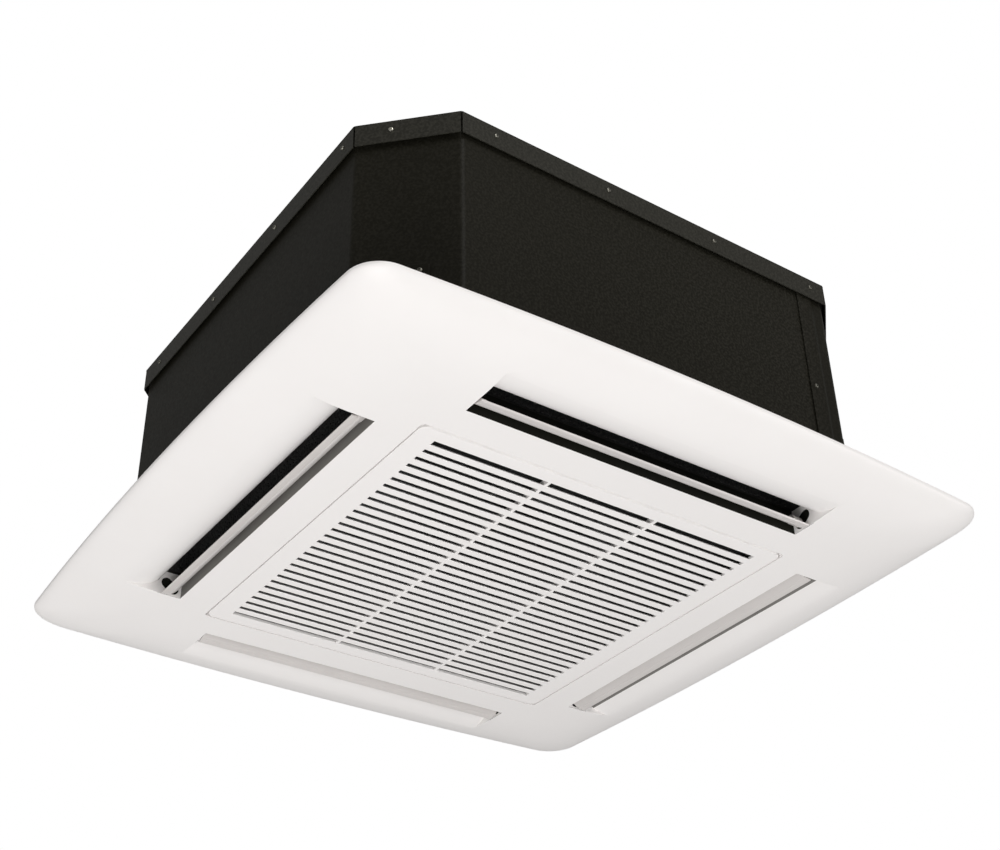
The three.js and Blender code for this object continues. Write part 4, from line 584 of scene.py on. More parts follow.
# ---- finishes, by the record's slots
FINISHES = {
    "fascia_white": surface("satin_fascia_plastic", (0.885, 0.856, 0.838), (0.865, 0.834, 0.816),
        (0.40, 0.50), 1500.0, 0.00004, worn=(0.78, 0.76, 0.74), wear=0.15, dust=0.25),
    "grille_white": surface("satin_grille_plastic", (0.890, 0.861, 0.843), (0.870, 0.839, 0.821),
        (0.42, 0.52), 1500.0, 0.00004, worn=(0.80, 0.78, 0.76), wear=0.15),
    "vane_plastic": surface("glossy_vane_plastic", (0.665, 0.627, 0.605), (0.60, 0.566, 0.546),
        (0.24, 0.36), 1200.0, 0.00002, pattern=drawn_lines),
    "filter_net": surface("black_filter_plastic", (0.035, 0.035, 0.037), (0.02, 0.02, 0.022),
        (0.5, 0.7), 1400.0, 0.00005),
    "black_sheet": surface("black_coated_sheet", (0.0122, 0.0112, 0.0074), (0.0096, 0.0088, 0.0059),
        (0.42, 0.50), 420.0, 0.00010, worn=(0.060, 0.056, 0.046), wear=0.5, dust=0.12, pits=0.25,
        patches=330.0, specular=0.06),
    "dark_foam": surface("black_cell_foam", (0.022, 0.021, 0.020), (0.012, 0.012, 0.011), (0.85, 0.95),
        900.0, 0.0003, pattern=foam_cells),
    "pan_foam": surface("black_bead_foam", (0.036, 0.036, 0.034), (0.020, 0.020, 0.019), (0.7, 0.85),
        600.0, 0.0004, pattern=foam_beads),
    "float_foam": surface("grey_float_foam", (0.20, 0.20, 0.195), (0.13, 0.13, 0.125), (0.75, 0.88),
        800.0, 0.0002, pattern=foam_cells),
    "grey_plastic": surface("grey_moulded_plastic", (0.24, 0.245, 0.245), (0.19, 0.195, 0.195),
        (0.42, 0.55), 1100.0, 0.00006, worn=(0.36, 0.36, 0.36), wear=0.3),
    "fan_plastic": surface("charcoal_fan_plastic", (0.085, 0.092, 0.096), (0.060, 0.066, 0.070),
        (0.38, 0.52), 900.0, 0.00006, worn=(0.18, 0.18, 0.18), wear=0.4),
    "fin_aluminium": surface("plain_fin_aluminium", (0.60, 0.62, 0.64), (0.48, 0.50, 0.52),
        (0.30, 0.42), 600.0, 0.00004, metallic=1.0),
    "copper": surface("drawn_copper", (0.60, 0.245, 0.105), (0.40, 0.150, 0.060), (0.24, 0.42), 500.0,
        0.00004, metallic=1.0, pattern=drawn_lines),
    "brass": surface("turned_brass", (0.63, 0.46, 0.17), (0.48, 0.34, 0.12), (0.24, 0.38), 700.0,
        0.00003, worn=(0.75, 0.60, 0.30), wear=0.4, metallic=1.0),
    "zinc_steel": surface("spangled_zinc_steel", (0.52, 0.54, 0.55), (0.33, 0.35, 0.36), (0.30, 0.48),
        400.0, 0.00004, worn=(0.70, 0.71, 0.72), wear=0.3, dust=0.2, metallic=1.0, pattern=spangle),
    "rubber": surface("black_rubber", (0.022, 0.021, 0.020), (0.013, 0.012, 0.012), (0.65, 0.80), 800.0,
        0.0001),
    "terminal_cream": surface("cream_terminal_plastic", (0.62, 0.57, 0.42), (0.55, 0.50, 0.36),
        (0.4, 0.5), 1200.0, 0.00004),
    "board_green": surface("green_circuit_board", (0.035, 0.16, 0.065), (0.02, 0.11, 0.04), (0.3, 0.45),
        900.0, 0.00004),
}
# The black lining of the ducts' long walls; it also paints shade into the shallow pivot recesses.
BLACK_LINING_AND_RECESS_SHADE = surface("black_duct_lining", (0.018, 0.018, 0.014), (0.010, 0.010, 0.008), (0.60, 0.80),
    900.0, 0.0001, specular=0.05, pattern=flock)
# Painted light and shade: grey on the front and back outlets' inner walls stands for light on the same black
# lining, and grey on the white scoops behind the vanes is painted shade.
PAINTED_LIGHT_AND_SHADE_GREY = surface("grey_duct_lining", (0.23, 0.22, 0.205), (0.17, 0.162, 0.150), (0.60, 0.80), 900.0,
    0.0001, specular=0.2, pattern=flock)
# Painted light: the lid is the same coated sheet as the wall, made lighter for the light its flange catches.
LIGHTER_PAINTED_LID_COAT = surface("black_coated_lid", (0.0235, 0.0225, 0.0175), (0.0200, 0.0190, 0.0148),
    (0.42, 0.50), 420.0, 0.00010, worn=(0.070, 0.066, 0.055), wear=0.4, dust=0.13, pits=0.25,
    patches=330.0, specular=0.10)
SCREW_STEEL = surface("dull_screw_steel", (0.30, 0.29, 0.25), (0.16, 0.155, 0.13), (0.36, 0.50), 900.0,
    0.00002, metallic=1.0, patches=140.0)
# Painted highlight: the corner screws are the same screws as the others; their lighter steel stands in for a
# glint.
GLINT_PAINTED_SCREW_STEEL = surface("bright_screw_steel", (0.72, 0.70, 0.62), (0.55, 0.53, 0.46), (0.24, 0.36),
    900.0, 0.00002, metallic=1.0, patches=140.0)
NET_BLACK = surface("woven_net_black", (0.024, 0.024, 0.026), (0.014, 0.014, 0.015), (0.55, 0.7),
    2000.0, 0.00003)

SLOT_OF = {row["node"]: row["material_slot"] for row in frame["record"]["subparts"]}
BODY_OF = {name: body for body, names in frame["record"]["behaviour"]["bodies"].items() for name in names}


def dress(obj, name, *nodes, finish=None, body=None):
    """Names a finished piece, gives it its finish and sets it in place of its nodes."""
    obj.name = obj.data.name = name
    slot = SLOT_OF[nodes[0]] if nodes else "zinc_steel"
    if finish is not False:
        obj.data.materials.clear()
        obj.data.materials.append(finish or FINISHES[slot])
    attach(obj, body or BODY_OF[nodes[0]])
    if nodes:
        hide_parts(*nodes)


ROW = row_tree()
RING = ring_tree()
SCREWS = screw_tree()
FINS = fin_tree()


# ---- fascia
SIDE_STEPS = 24
CORNER_STEPS = 12
RING_INSETS = [x * MM for x in (0, 0.25, 0.7, 1.5, 3, 5.5, 9, 13.5, 19, 26, 34, 43, 53, 64, 75, 86, 96)]


def fascia_outline(inset):
    """Plan outline `inset` in from the rim: four bowed sides with rounded corners."""
    bow = EDGE_BOW * max(0, 1 - inset / BORDER_FALL)
    half = PANEL_HALF - inset - bow
    radius = RIM_RADIUS + inset * 0.3
    centre, tilt = half - radius, 0
    for _ in range(8):
        y = centre + radius * math.sin(tilt)
        tilt = math.atan(2 * bow * y / half ** 2)
        centre = half + bow * (1 - (y / half) ** 2) - radius * math.cos(tilt)
    reach = centre + radius * math.sin(tilt)
    side = []
    for i in range(SIDE_STEPS):
        y = -reach + 2 * reach * i / SIDE_STEPS
        side.append(Vector((half + bow * (1 - (y / half) ** 2), y)))
    for i in range(CORNER_STEPS):
        a = tilt + (QUARTER - 2 * tilt) * i / CORNER_STEPS
        side.append(Vector((centre + radius * math.cos(a), centre + radius * math.sin(a))))
    return [Matrix.Rotation(turns * QUARTER, 2) @ p for turns in range(4) for p in side]


def border_height(inset):
    t = min(1, inset / BORDER_FALL)
    return -RIM_LIP + (FLAT + RIM_LIP) * (1 - (1 - t) ** 2.6) ** 0.62


def fascia_block(name, wall):
    top = wall if wall else 0
    rings = [[(p.x, p.y, top) for p in fascia_outline(wall)]]
    for inset in [*RING_INSETS, BORDER_FALL]:
        z = border_height(inset) + wall
        rings.append([(p.x, p.y, z) for p in fascia_outline(inset + wall)])
    return loft(name, rings[::-1])


def outlet_section(grow, top, steps=20):
    """Outlet in (distance from centre, height): upright inside, a scooped lip outside."""
    reach = OUTLET_INNER + SCOOP_REACH
    tip = border_height(PANEL_HALF - reach)
    below = FLAT - MM
    points = [(OUTLET_INNER - grow, top), (OUTLET_INNER - grow, below), (reach + grow, below)]
    for i in range(steps + 1):
        a = QUARTER * (1 - i / steps)
        r = reach - (reach - OUTLET_OUTER) * math.cos(a)
        z = -SCOOP_TOP + (tip + SCOOP_TOP) * math.sin(a)
        points.append((r + grow * math.cos(a), z + grow * math.sin(a)))
    points.append((OUTLET_OUTER + grow, top))
    return points


def outlets(name, grow, top):
    end = OUTLET_HALF_LENGTH + grow
    return quarter_turns(prism_along_y(name, outlet_section(grow, top), -end, end), name)


def pivot_recesses():
    """Shallow seats in the outlets' end walls, round the vanes' pivots and a little outwards of them."""
    turn_at, radius, lean = (VANE_AXIS.x, VANE_AXIS.z), 5.6 * MM, math.atan2(5, 7)
    reach_to = (VANE_AXIS.x + 7 * MM, VANE_AXIS.z + 5 * MM)
    outline = [*arc(*reach_to, radius, lean - QUARTER, lean + QUARTER, 12),
               *arc(*turn_at, radius, lean + QUARTER, lean + 3 * QUARTER, 12)]
    end, depth = OUTLET_HALF_LENGTH, RECESS_DEPTH
    seats = [prism_along_y("seat", outline, side * (end - MM), side * (end + depth)) for side in (-1, 1)]
    return quarter_turns(joined("seats", seats), "pivot recesses")


def line_the_ducts(fascia):
    """Lines the outlets' long upright walls in black, but in grey behind the vanes and towards the grille
    at the front and back; the pivot recesses are black too. The grey towards the grille is painted light: those
    walls have the same black lining as the others. The grey behind the vanes is painted shade on the white
    scoops, and the black in the shallow pivot recesses is painted shade."""
    fascia.data.materials.clear()
    for finish in (FINISHES["fascia_white"], BLACK_LINING_AND_RECESS_SHADE, PAINTED_LIGHT_AND_SHADE_GREY):
        fascia.data.materials.append(finish)
    black, grey = 1, 2
    # Heights above which the white scoops behind the vanes are painted grey as shade, for the right, back, left
    # and front outlets.
    painted_shade_edge = (-12 * MM, -17.8 * MM, -12 * MM, -12 * MM)
    near = 0.1 * MM
    for face in fascia.data.polygons:
        for turns in range(4):
            turn = about("Z", -turns * QUARTER, 3)
            at, facing = turn @ face.center, turn @ face.normal
            past_end = abs(at.y) - OUTLET_HALF_LENGTH
            in_duct = OUTLET_INNER - 4 * near < at.x < OUTLET_OUTER + 4 * near and abs(facing.x) > 0.8
            behind_vane = at.x > OUTLET_OUTER and at.z > painted_shade_edge[turns] and facing.x < -0.3
            in_recess = near < past_end < RECESS_DEPTH + near and OUTLET_INNER < at.x < OUTLET_OUTER
            # Painted shade: the shallow pivot recesses are painted black.
            if in_recess and at.z < -4 * MM:
                face.material_index = black
            # Painted light and shade: grey on the scoops behind the vanes is painted shade, grey on the front and
            # back inner walls is painted light.
            if past_end < 0 and (in_duct or behind_vane):
                face.material_index = grey if behind_vane or turns % 2 and facing.x > 0 else black


def fascia_moulding():
    low, high = FLAT - 2 * MM, 4 * MM
    collar = prism("collar", rounded_square(OPENING_HALF + SKIN, OPENING_RADIUS + SKIN), low, high)
    hollow = boolean(fascia_block("hollow", SKIN), collar)
    boolean(hollow, outlets("duct walls", SKIN, high))
    shell = boolean(fascia_block("fascia", 0), hollow)
    boolean(shell, prism("opening", rounded_square(OPENING_HALF, OPENING_RADIUS), low, high))
    boolean(shell, outlets("outlets", 0, high))
    boolean(shell, pivot_recesses())
    rounded_edges(shell, 0.35 * MM)
    line_the_ducts(shell)
    dress(shaded(shell), "fascia_moulding", "fascia_panel", finish=False)


# ---- intake grille and filter
def slat(length):
    """One slat, narrower at its back, its face edges rounded."""
    face, back = SLAT_LIP / 2, SLAT_BACK / 2
    round_ = 0.45 * MM
    top = FLAT + GRILLE_PLATE
    section = [*arc(-face + round_, FLAT + round_, round_, math.pi, 3 * QUARTER, 3),
               *arc(face - round_, FLAT + round_, round_, -QUARTER, 0, 3), (back, top), (-back, top)]
    return shaded(prism_along_y("slat", section, -length, length))


def grille_frame():
    """Plate and rim of the grille, with the window for the slats."""
    top = FLAT + GRILLE_HEIGHT
    frame_ = prism("grille frame", rounded_square(GRILLE_HALF, GRILLE_RADIUS), FLAT, top)
    inside = rounded_square(GRILLE_HALF - GRILLE_WALL, GRILLE_RADIUS / 2)
    boolean(frame_, prism("tray", inside, FLAT + GRILLE_PLATE, top + MM))
    for z, away in ((FLAT, -1), (top, 1)):
        corner = [(GRILLE_HALF - SWING_CHAMFER - MM, z + away * MM), (GRILLE_HALF + MM, z + away * MM),
                  (GRILLE_HALF + MM, z - away * (SWING_CHAMFER + MM))]
        boolean(frame_, prism_along_y("swing chamfer", corner, -GRILLE_HALF - MM, GRILLE_HALF + MM))
    across = (SLOT_COUNT * SLOT_PITCH - SLAT_FACE) / 2
    outline = [(across, -SLOT_HALF_LENGTH), (across, SLOT_HALF_LENGTH), (-across, SLOT_HALF_LENGTH),
               (-across, -SLOT_HALF_LENGTH)]
    boolean(frame_, prism("window", outline, FLAT - MM, 0))
    return rounded_edges(frame_, 0.5 * MM, 3)


def rib(y):
    low, high = FLAT + 0.25 * MM, FLAT + GRILLE_PLATE + 3.2 * MM
    half, reach = 1.6 * MM, GRILLE_HALF - GRILLE_WALL + 0.5 * MM
    return rounded_edges(block("rib", -reach, reach, y - half, y + half, low, high), 0.3 * MM)


def grille_pins_and_tabs():
    """Hinge pins at the right edge and snap tabs at the left one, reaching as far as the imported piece."""
    _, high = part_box("intake_grille")
    pieces = []
    for side in (-1, 1):
        pin = rod("pin", 1.5 * MM, 0, PIN_LENGTH, 20)
        start = shifted(HINGE_X, side * (high.y - PIN_LENGTH), HINGE_Z)
        pieces.append(moved(pin, start @ about("X", -side * QUARTER)))
        y, half = side * TAB_SPREAD, TAB_WIDTH / 2
        left = -GRILLE_HALF + FIT
        tab = block("tab", left, left + 2 * MM, y - half, y + half, FLAT + GRILLE_HEIGHT - MM, high.z)
        pieces.append(rounded_edges(tab, 0.4 * MM))
    return pieces


def intake_grille_moulding():
    third = SLOT_HALF_LENGTH / 3
    body = joined("grille", [grille_frame(), rib(-third), rib(third), *grille_pins_and_tabs()])
    bar = slat(SLOT_HALF_LENGTH + 0.3 * MM)
    grown(body, ROW, Bar=bar, Count=SLOT_COUNT - 1, Pitch=SLOT_PITCH, Finish=FINISHES["grille_white"])
    dress(shaded(body), "intake_grille_moulding", "intake_grille")


def filter_frame_and_net():
    """The filter's frame with four cells a side and a woven net across it."""
    low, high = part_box("air_filter")
    rim, bar, cells_across = 8 * MM, 3 * MM, 4
    body = prism("filter frame", rounded_square(high.x, bar), low.z, high.z)
    inner = high.x - rim
    pitch = (2 * inner + bar) / cells_across
    starts = [-inner + i * pitch for i in range(cells_across)]
    side = pitch - bar
    holes = [block("cell", x, x + side, y, y + side, low.z - MM, high.z + MM) for x in starts for y in starts]
    boolean(body, joined("cells", holes))
    pieces = [rounded_edges(body, 0.4 * MM)]
    net_pitch, thread = 2.0 * MM, 0.16 * MM
    for turn, z in ((0, low.z + 1.2 * MM), (QUARTER, low.z + 1.2 * MM + thread)):
        section = [(-thread, z - thread), (thread, z - thread), (thread, z + thread), (-thread, z + thread)]
        strand = prism_along_y("strand", section, -inner - MM, inner + MM)
        net = object_of(bpy.data.meshes.new("net"))
        grown(net, ROW, Bar=strand, Count=int(2 * inner / net_pitch), Pitch=net_pitch, Finish=NET_BLACK)
        pieces.append(moved(net, about("Z", turn)))
    dress(joined("filter", [shaded(pieces[0]), *pieces[1:]]), "filter_frame_and_net", "air_filter")


# ---- air vanes
def vane_section(steps=30):
    """Cambered vane in (out, up), level, with a bead on its outer edge and a shallow groove."""
    inner, outer = 7.8 * MM, 14.45 * MM
    thick, edge, camber = 2.6 * MM, 1.2 * MM, 3.0 * MM
    upper, lower = [], []
    for i in range(steps + 1):
        t = i / steps
        bulge = 4 * t * (1 - t)
        middle = -camber * bulge
        half = (edge + (thick - edge) * bulge) / 2
        bead = 0.35 * MM * math.exp(-((t - 0.965) / 0.035) ** 2)
        groove = 0.55 * MM * math.exp(-((t - 0.74) / 0.03) ** 2)
        u = -inner + (inner + outer) * t
        upper.append((u, middle + half + bead))
        lower.append((u, middle - half - bead + groove))
    return [*lower, *reversed(upper)]


def air_vane(side, turns):
    """A vane with its two pivot bosses, in its rest tilt."""
    node_name = f"air_vane_{side}"
    length = OUTLET_HALF_LENGTH - 1.5 * MM
    blade = prism_along_y("blade", vane_section(), -length, length)
    rounded_edges(blade, 0.25 * MM, angle=50)
    for end, reach, radius in ((1, 0, 4.6 * MM), (-1, 3.7 * MM, 2.5 * MM)):
        boss = turned("boss", [(0, -11 * MM), (radius, -11 * MM), (radius, reach - 0.3 * MM),
                               (radius - 0.3 * MM, reach), (0, reach)], 28)
        turn = about("X", -end * QUARTER)
        boolean(blade, moved(boss, shifted(0, end * length, 0) @ turn), "UNION")
    socket = rod("socket", 2.8 * MM, -8 * MM, MM, 28)
    boolean(blade, moved(socket, shifted(0, length, 0) @ about("X", -QUARTER)))
    vane = shaded(blade)
    tilt = Matrix.Translation(VANE_AXIS) @ about("Y", VANE_REST_ANGLE)
    moved(vane, about("Z", turns * QUARTER) @ tilt)
    dress(vane, f"curved_vane_{side}", node_name)


# ---- casing
def casing_sheet(name, node_name, half_turn):
    """Half of the folded eight-sided wall, ending in a strip stepped out over the other half."""
    low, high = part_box(node_name)
    short = CASING_HALF - CASING_CHAMFER
    step = SHEET + FIT
    joggle = -short + BEND_RADIUS * 1.6
    wall = [(CASING_HALF, -joggle - JOGGLE_RUN - FIT), (CASING_HALF, -short), (short, -CASING_HALF),
            (-short, -CASING_HALF), (-CASING_HALF, -short), (-CASING_HALF, joggle),
            (-CASING_HALF - step, joggle + JOGGLE_RUN), (-CASING_HALF - step, -SEAM_FROM_CENTRE)]
    sheet = prism(name, strip(bent(wall, BEND_RADIUS)[::-1], SHEET), low.z, high.z)
    if half_turn:
        moved(sheet, about("Z", math.pi))
    return rounded_edges(sheet, 0.3 * MM, angle=60)


def lid_flange(index):
    """One folded side of the lid, with a small relief at each end where it meets its neighbour."""
    corners = octagon(LID_HALF)
    start, end = Vector(corners[index]), Vector(corners[(index + 1) % 8])
    ahead = (end - start).normalized()
    inward = Vector((-ahead.y, ahead.x)) * SHEET
    relief = ahead * (0.9 * MM)
    a, b = start + relief, end - relief
    outline = [a, b, b + inward - relief / 2, a + inward + relief / 2]
    return prism("flange", outline, CASING_TOP - LID_FLANGE, CASING_TOP - 0.4 * MM)


def lid():
    """Top cover: a dished plate whose eight sides are folded down over the casing."""
    top = prism("lid plate", octagon(LID_HALF - 0.15 * MM), CASING_TOP - SHEET, CASING_TOP)
    floor_level, over, sides = CASING_TOP - LID_RECESS_DEPTH, CASING_TOP + 0.2 * MM, 96
    boolean(top, rod("dish", LID_RECESS_RADIUS, floor_level - SHEET, CASING_TOP, sides), "UNION")
    hollow = [(0, floor_level), (LID_RECESS_RADIUS - 4 * MM, floor_level),
              (LID_RECESS_RADIUS - SHEET, over), (0, over)]
    boolean(top, turned("hollow", hollow, sides))
    boolean(top, joined("flanges", [lid_flange(i) for i in range(8)]), "UNION")
    rounded_edges(top, 0.35 * MM, angle=30)
    # Painted light: the lid's lighter coat stands for light on the same sheet as the wall.
    dress(shaded(top, 40), "folded_top_cover", "top_cover", finish=LIGHTER_PAINTED_LID_COAT)


# ---- screws
def screw_head(radius=2.3 * MM, height=1.5 * MM):
    """Pan head with a cross recess and a thin washer face, standing on z = 0."""
    profile = [(0, -0.2 * MM), (radius, -0.2 * MM), (radius, 0.35 * height), (radius * 0.9, 0.7 * height),
               (radius * 0.6, 0.95 * height), (0, height)]
    head = turned("screw head", profile, 20)
    arm, reach = 0.18 * radius, 0.55 * radius
    for across in (0, 1):
        x, y = (reach, arm) if across else (arm, reach)
        boolean(head, block("recess", -x, x, -y, y, height * 0.45, height * 2))
    return shaded(head)


def screws(name, places, seed, finish=SCREW_STEEL):
    """One piece holding a screw at every (point, outward direction)."""
    mesh = mesh_of(name, [p for p, _ in places], [])
    facing = mesh.attributes.new("facing", "FLOAT_VECTOR", "POINT")
    facing.data.foreach_set("vector", [c for _, direction in places for c in direction])
    made = grown(object_of(mesh), SCREWS, Screw=screw_head(), Seed=seed, Finish=finish)
    dress(made, name, finish=False, body="casing")


def on_side(turns, *at):
    """A place and its outward direction, given as on the right side and turned round Z by quarters."""
    turn = about("Z", turns * QUARTER, 3)
    return turn @ Vector(at), turn @ Vector((1, 0, 0))


def slanted_face(half):
    """How far the slanted corner faces are from the centre, where the sides are `half` away."""
    return half * (2 - CASING_CHAMFER / CASING_HALF) / math.sqrt(2)


FLANGE_SCREW_LEVEL = CASING_TOP - 11 * MM
FLANGE_SCREWS_ALONG = [y * MM for y in (-184, -57, 73, 201)]
SEAM_SCREW_LEVELS = [z * MM for z in (28, 118)]
SEAM_SCREW_INSET = 7 * MM


def lid_screws():
    face, z = slanted_face(LID_HALF), FLANGE_SCREW_LEVEL
    corners = [on_side(turns - 0.5, face, -15 * MM, z) for turns in range(4)]
    # Painted highlight: the corner screws get the lighter steel, standing in for a glint.
    screws("lid_corner_screws", corners, 4, GLINT_PAINTED_SCREW_STEEL)
    sides = [on_side(turns, LID_HALF, y, z) for turns in range(4) for y in FLANGE_SCREWS_ALONG]
    screws("lid_flange_screws", sides, 3)


def seam_screws():
    x, y = CASING_HALF + SHEET + FIT, SEAM_FROM_CENTRE + SEAM_SCREW_INSET
    screws("seam_screws", [(Vector((side * x, side * y, z)), Vector((side, 0, 0)))
                           for side in (-1, 1) for z in SEAM_SCREW_LEVELS], 5)


def fitting_screws():
    """Screws of the hanging brackets, the pipe plate and the control box."""
    face = slanted_face(CASING_HALF) + 2.8 * MM
    places = [on_side(turns - 0.5, face, y * MM, 79 * MM) for turns in range(4) for y in (-12, 12)]
    low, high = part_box("pipe_plate")
    inset = 5 * MM
    places += [(Vector((x, high.y, z)), Vector((0, 1, 0))) for x in (low.x + inset, high.x - inset)
               for z in (low.z + inset, high.z - inset)]
    low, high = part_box("control_box_lid")
    places += [(Vector((x, (low.y + high.y) / 2, low.z)), Vector((0, 0, -1)))
               for x in (low.x + 8 * MM, high.x - 8 * MM)]
    screws("fitting_screws", places, 9)


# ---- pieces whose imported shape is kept
def kept_shape(node_name, width=0.0, angle=35):
    """A welded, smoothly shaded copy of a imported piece, with its edges rounded by `width`."""
    source = frame["nodes"][node_name].data
    bm = bmesh.new()
    bm.from_mesh(source)
    bmesh.ops.remove_doubles(bm, verts=bm.verts, dist=2e-6)
    bmesh.ops.dissolve_limit(bm, angle_limit=math.radians(0.6), verts=bm.verts, edges=bm.edges)
    mesh = bpy.data.meshes.new(node_name)
    bm.to_mesh(mesh)
    bm.free()
    obj = object_of(mesh)
    if width:
        rounded_edges(obj, width, angle=angle)
    modifier = obj.modifiers.new("small faces", "TRIANGULATE")
    modifier.min_vertices = 5
    dress(shaded(baked(obj), angle), f"{node_name}_finished", node_name)


def round_tube(name, node_name, points, radius, sides=24, steps=96):
    """A pipe bent smoothly through its points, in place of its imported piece."""
    curve = smooth_path([Vector(p) for p in points], steps)
    rings, across = [], None
    for i, here in enumerate(curve):
        ahead = (curve[min(i + 1, steps)] - curve[max(i - 1, 0)]).normalized()
        across = across or ahead.orthogonal()
        across = (across - ahead * across.dot(ahead)).normalized()
        up = ahead.cross(across)
        rings.append([here + (across * math.cos(a) + up * math.sin(a)) * radius
                      for a in (math.tau * k / sides for k in range(sides))])
    dress(shaded(loft(name, rings), 50), name, node_name)


def between(first, second, start, end, t):
    """What lies between two points that belong to the times `start` and `end`."""
    return first * ((end - t) / (end - start)) + second * ((t - start) / (end - start))


def smooth_path(points, steps):
    """Points along a centripetal curve through the given ones, evenly spaced by length."""
    ends = [points[0] * 2 - points[1], *points, points[-1] * 2 - points[-2]]
    fine = []
    for p0, p1, p2, p3 in zip(ends, ends[1:], ends[2:], ends[3:]):
        t1 = (p1 - p0).length ** 0.5
        t2 = t1 + (p2 - p1).length ** 0.5
        t3 = t2 + (p3 - p2).length ** 0.5
        for i in range(24):
            t = t1 + (t2 - t1) * i / 24
            a = between(p1, p2, t1, t2, t)
            b = between(between(p0, p1, 0, t1, t), a, 0, t2, t)
            c = between(a, between(p2, p3, t2, t3, t), t1, t3, t)
            fine.append(between(b, c, t1, t2, t))
    fine.append(points[-1])
    lengths = [0.0]
    for a, b in zip(fine, fine[1:]):
        lengths.append(lengths[-1] + (b - a).length)
    even, k = [], 0
    for i in range(steps + 1):
        want = lengths[-1] * i / steps
        while k < len(fine) - 2 and lengths[k + 1] < want:
            k += 1
        even.append(fine[k].lerp(fine[k + 1], (want - lengths[k]) / (lengths[k + 1] - lengths[k])))
    return even


# ---- fan, motor and bell mouth
FAN_INLET = 104 * MM
FAN_DEPTH = 46 * MM
FAN_RADIUS = FAN_INLET + FAN_DEPTH
FAN_BOTTOM = 42 * MM
FAN_EYE = FAN_BOTTOM + 6 * MM
FAN_SHROUD_TOP = 68 * MM
FAN_BACK = 176 * MM
FAN_WALL = 2.4 * MM
FAN_BLADES = 7
BLADE_INNER = 92 * MM
BLADE_SWEEP = 42
HUB_RADIUS = 56 * MM
HUB_BOTTOM = 114 * MM


def shroud_height(radius):
    """Underside of the fan's shroud at a radius."""
    share = min(1, max(0, (radius - FAN_INLET) / FAN_DEPTH))
    t = math.acos(1 - share) / QUARTER
    return FAN_EYE + (FAN_SHROUD_TOP - FAN_EYE) * t ** 0.8


def fan_blade(steps=16):
    """One blade, thickest in the middle, swept back towards the rim."""
    front, rear = [], []
    for i in range(steps + 1):
        t = i / steps
        radius = BLADE_INNER + (FAN_RADIUS - 3 * MM - BLADE_INNER) * t
        angle = math.radians(BLADE_SWEEP * t ** 1.3 - BLADE_SWEEP / 2)
        half = (1.2 + 4.8 * math.sin(math.pi * t ** 0.7)) / 2 * MM / radius
        low = shroud_height(radius) + MM
        front.append((radius * math.cos(angle + half), radius * math.sin(angle + half), low))
        rear.append((radius * math.cos(angle - half), radius * math.sin(angle - half), low))
    ring = [*front, *reversed(rear)]
    return shaded(loft("blade", [ring, [(x, y, FAN_BACK + MM) for x, y, _ in ring]]), 40)


def turbo_fan():
    inside, outside = [(FAN_INLET, FAN_BOTTOM)], [(FAN_INLET + FAN_WALL, FAN_BOTTOM)]
    steps = 12
    for i in range(steps + 1):
        radius = FAN_INLET + FAN_DEPTH * (1 - math.cos(QUARTER * i / steps))
        height = shroud_height(radius)
        inside.append((radius, height + (FAN_WALL if i else 0)))
        outside.append((radius + (FAN_WALL if i < steps else 0), height))
    shroud = turned("shroud", [*outside, *reversed(inside)], 120)
    hub = turned("hub", hub_profile(), 120)
    fan = joined("fan", [shaded(shroud, 40), shaded(hub, 40)])
    blade = fan_blade()
    grown(fan, RING, Blade=blade, Count=FAN_BLADES, Finish=FINISHES["fan_plastic"])
    dress(fan, "turbo_fan_moulding", "turbo_fan")


def hub_profile():
    w, foot, end = FAN_WALL, FAN_BACK - 12 * MM, HUB_BOTTOM - 8 * MM
    dome, shoulder, flare = 5 * MM, 18 * MM, 8 * MM
    lower = [(MOTOR_BORE, end), (14 * MM, end), (14 * MM, HUB_BOTTOM),
             (HUB_RADIUS - shoulder, HUB_BOTTOM + dome)]
    lower += arc(HUB_RADIUS - shoulder, HUB_BOTTOM + dome + shoulder, shoulder, -QUARTER, 0, 8)[1:]
    lower += [(HUB_RADIUS, foot)]
    lower += arc(HUB_RADIUS + flare, foot, flare, math.pi, QUARTER, 6)[1:]
    lower[-1] = (HUB_RADIUS + flare, FAN_BACK)
    lower += [(FAN_RADIUS, FAN_BACK)]
    upper = [(FAN_RADIUS, FAN_BACK + w), (HUB_RADIUS + flare - w, FAN_BACK + w),
             (HUB_RADIUS - w, foot + w / 2),
             (HUB_RADIUS - w, HUB_BOTTOM + dome + shoulder),
             (HUB_RADIUS - dome - w, HUB_BOTTOM + shoulder - 2 * MM + w),
             (HUB_RADIUS - shoulder, HUB_BOTTOM + dome + w), (MOTOR_BORE, HUB_BOTTOM + w)]
    return lower + upper


def bell_mouth():
    low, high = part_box("bell_mouth")
    throat, hole, flange, wall = 100 * MM, 131 * MM, high.x, 2 * MM
    seat = low.z + wall
    widening, rise = hole - throat - wall - MM, 33.1 * MM
    flare = [(throat + widening * (1 - math.sin(a)), low.z + rise * (1 - math.cos(a)))
             for a in (QUARTER * i / 16 for i in range(17))]
    inside = [(flange, low.z), *flare, (throat, high.z)]
    outside = [(throat + wall, high.z), *[(r + wall, z + wall / 2) for r, z in reversed(flare[2:])],
               (hole - FIT, seat), (flange, seat)]
    dress(shaded(turned("mouth", inside + outside, 120), 40), "flared_bell_mouth", "bell_mouth")


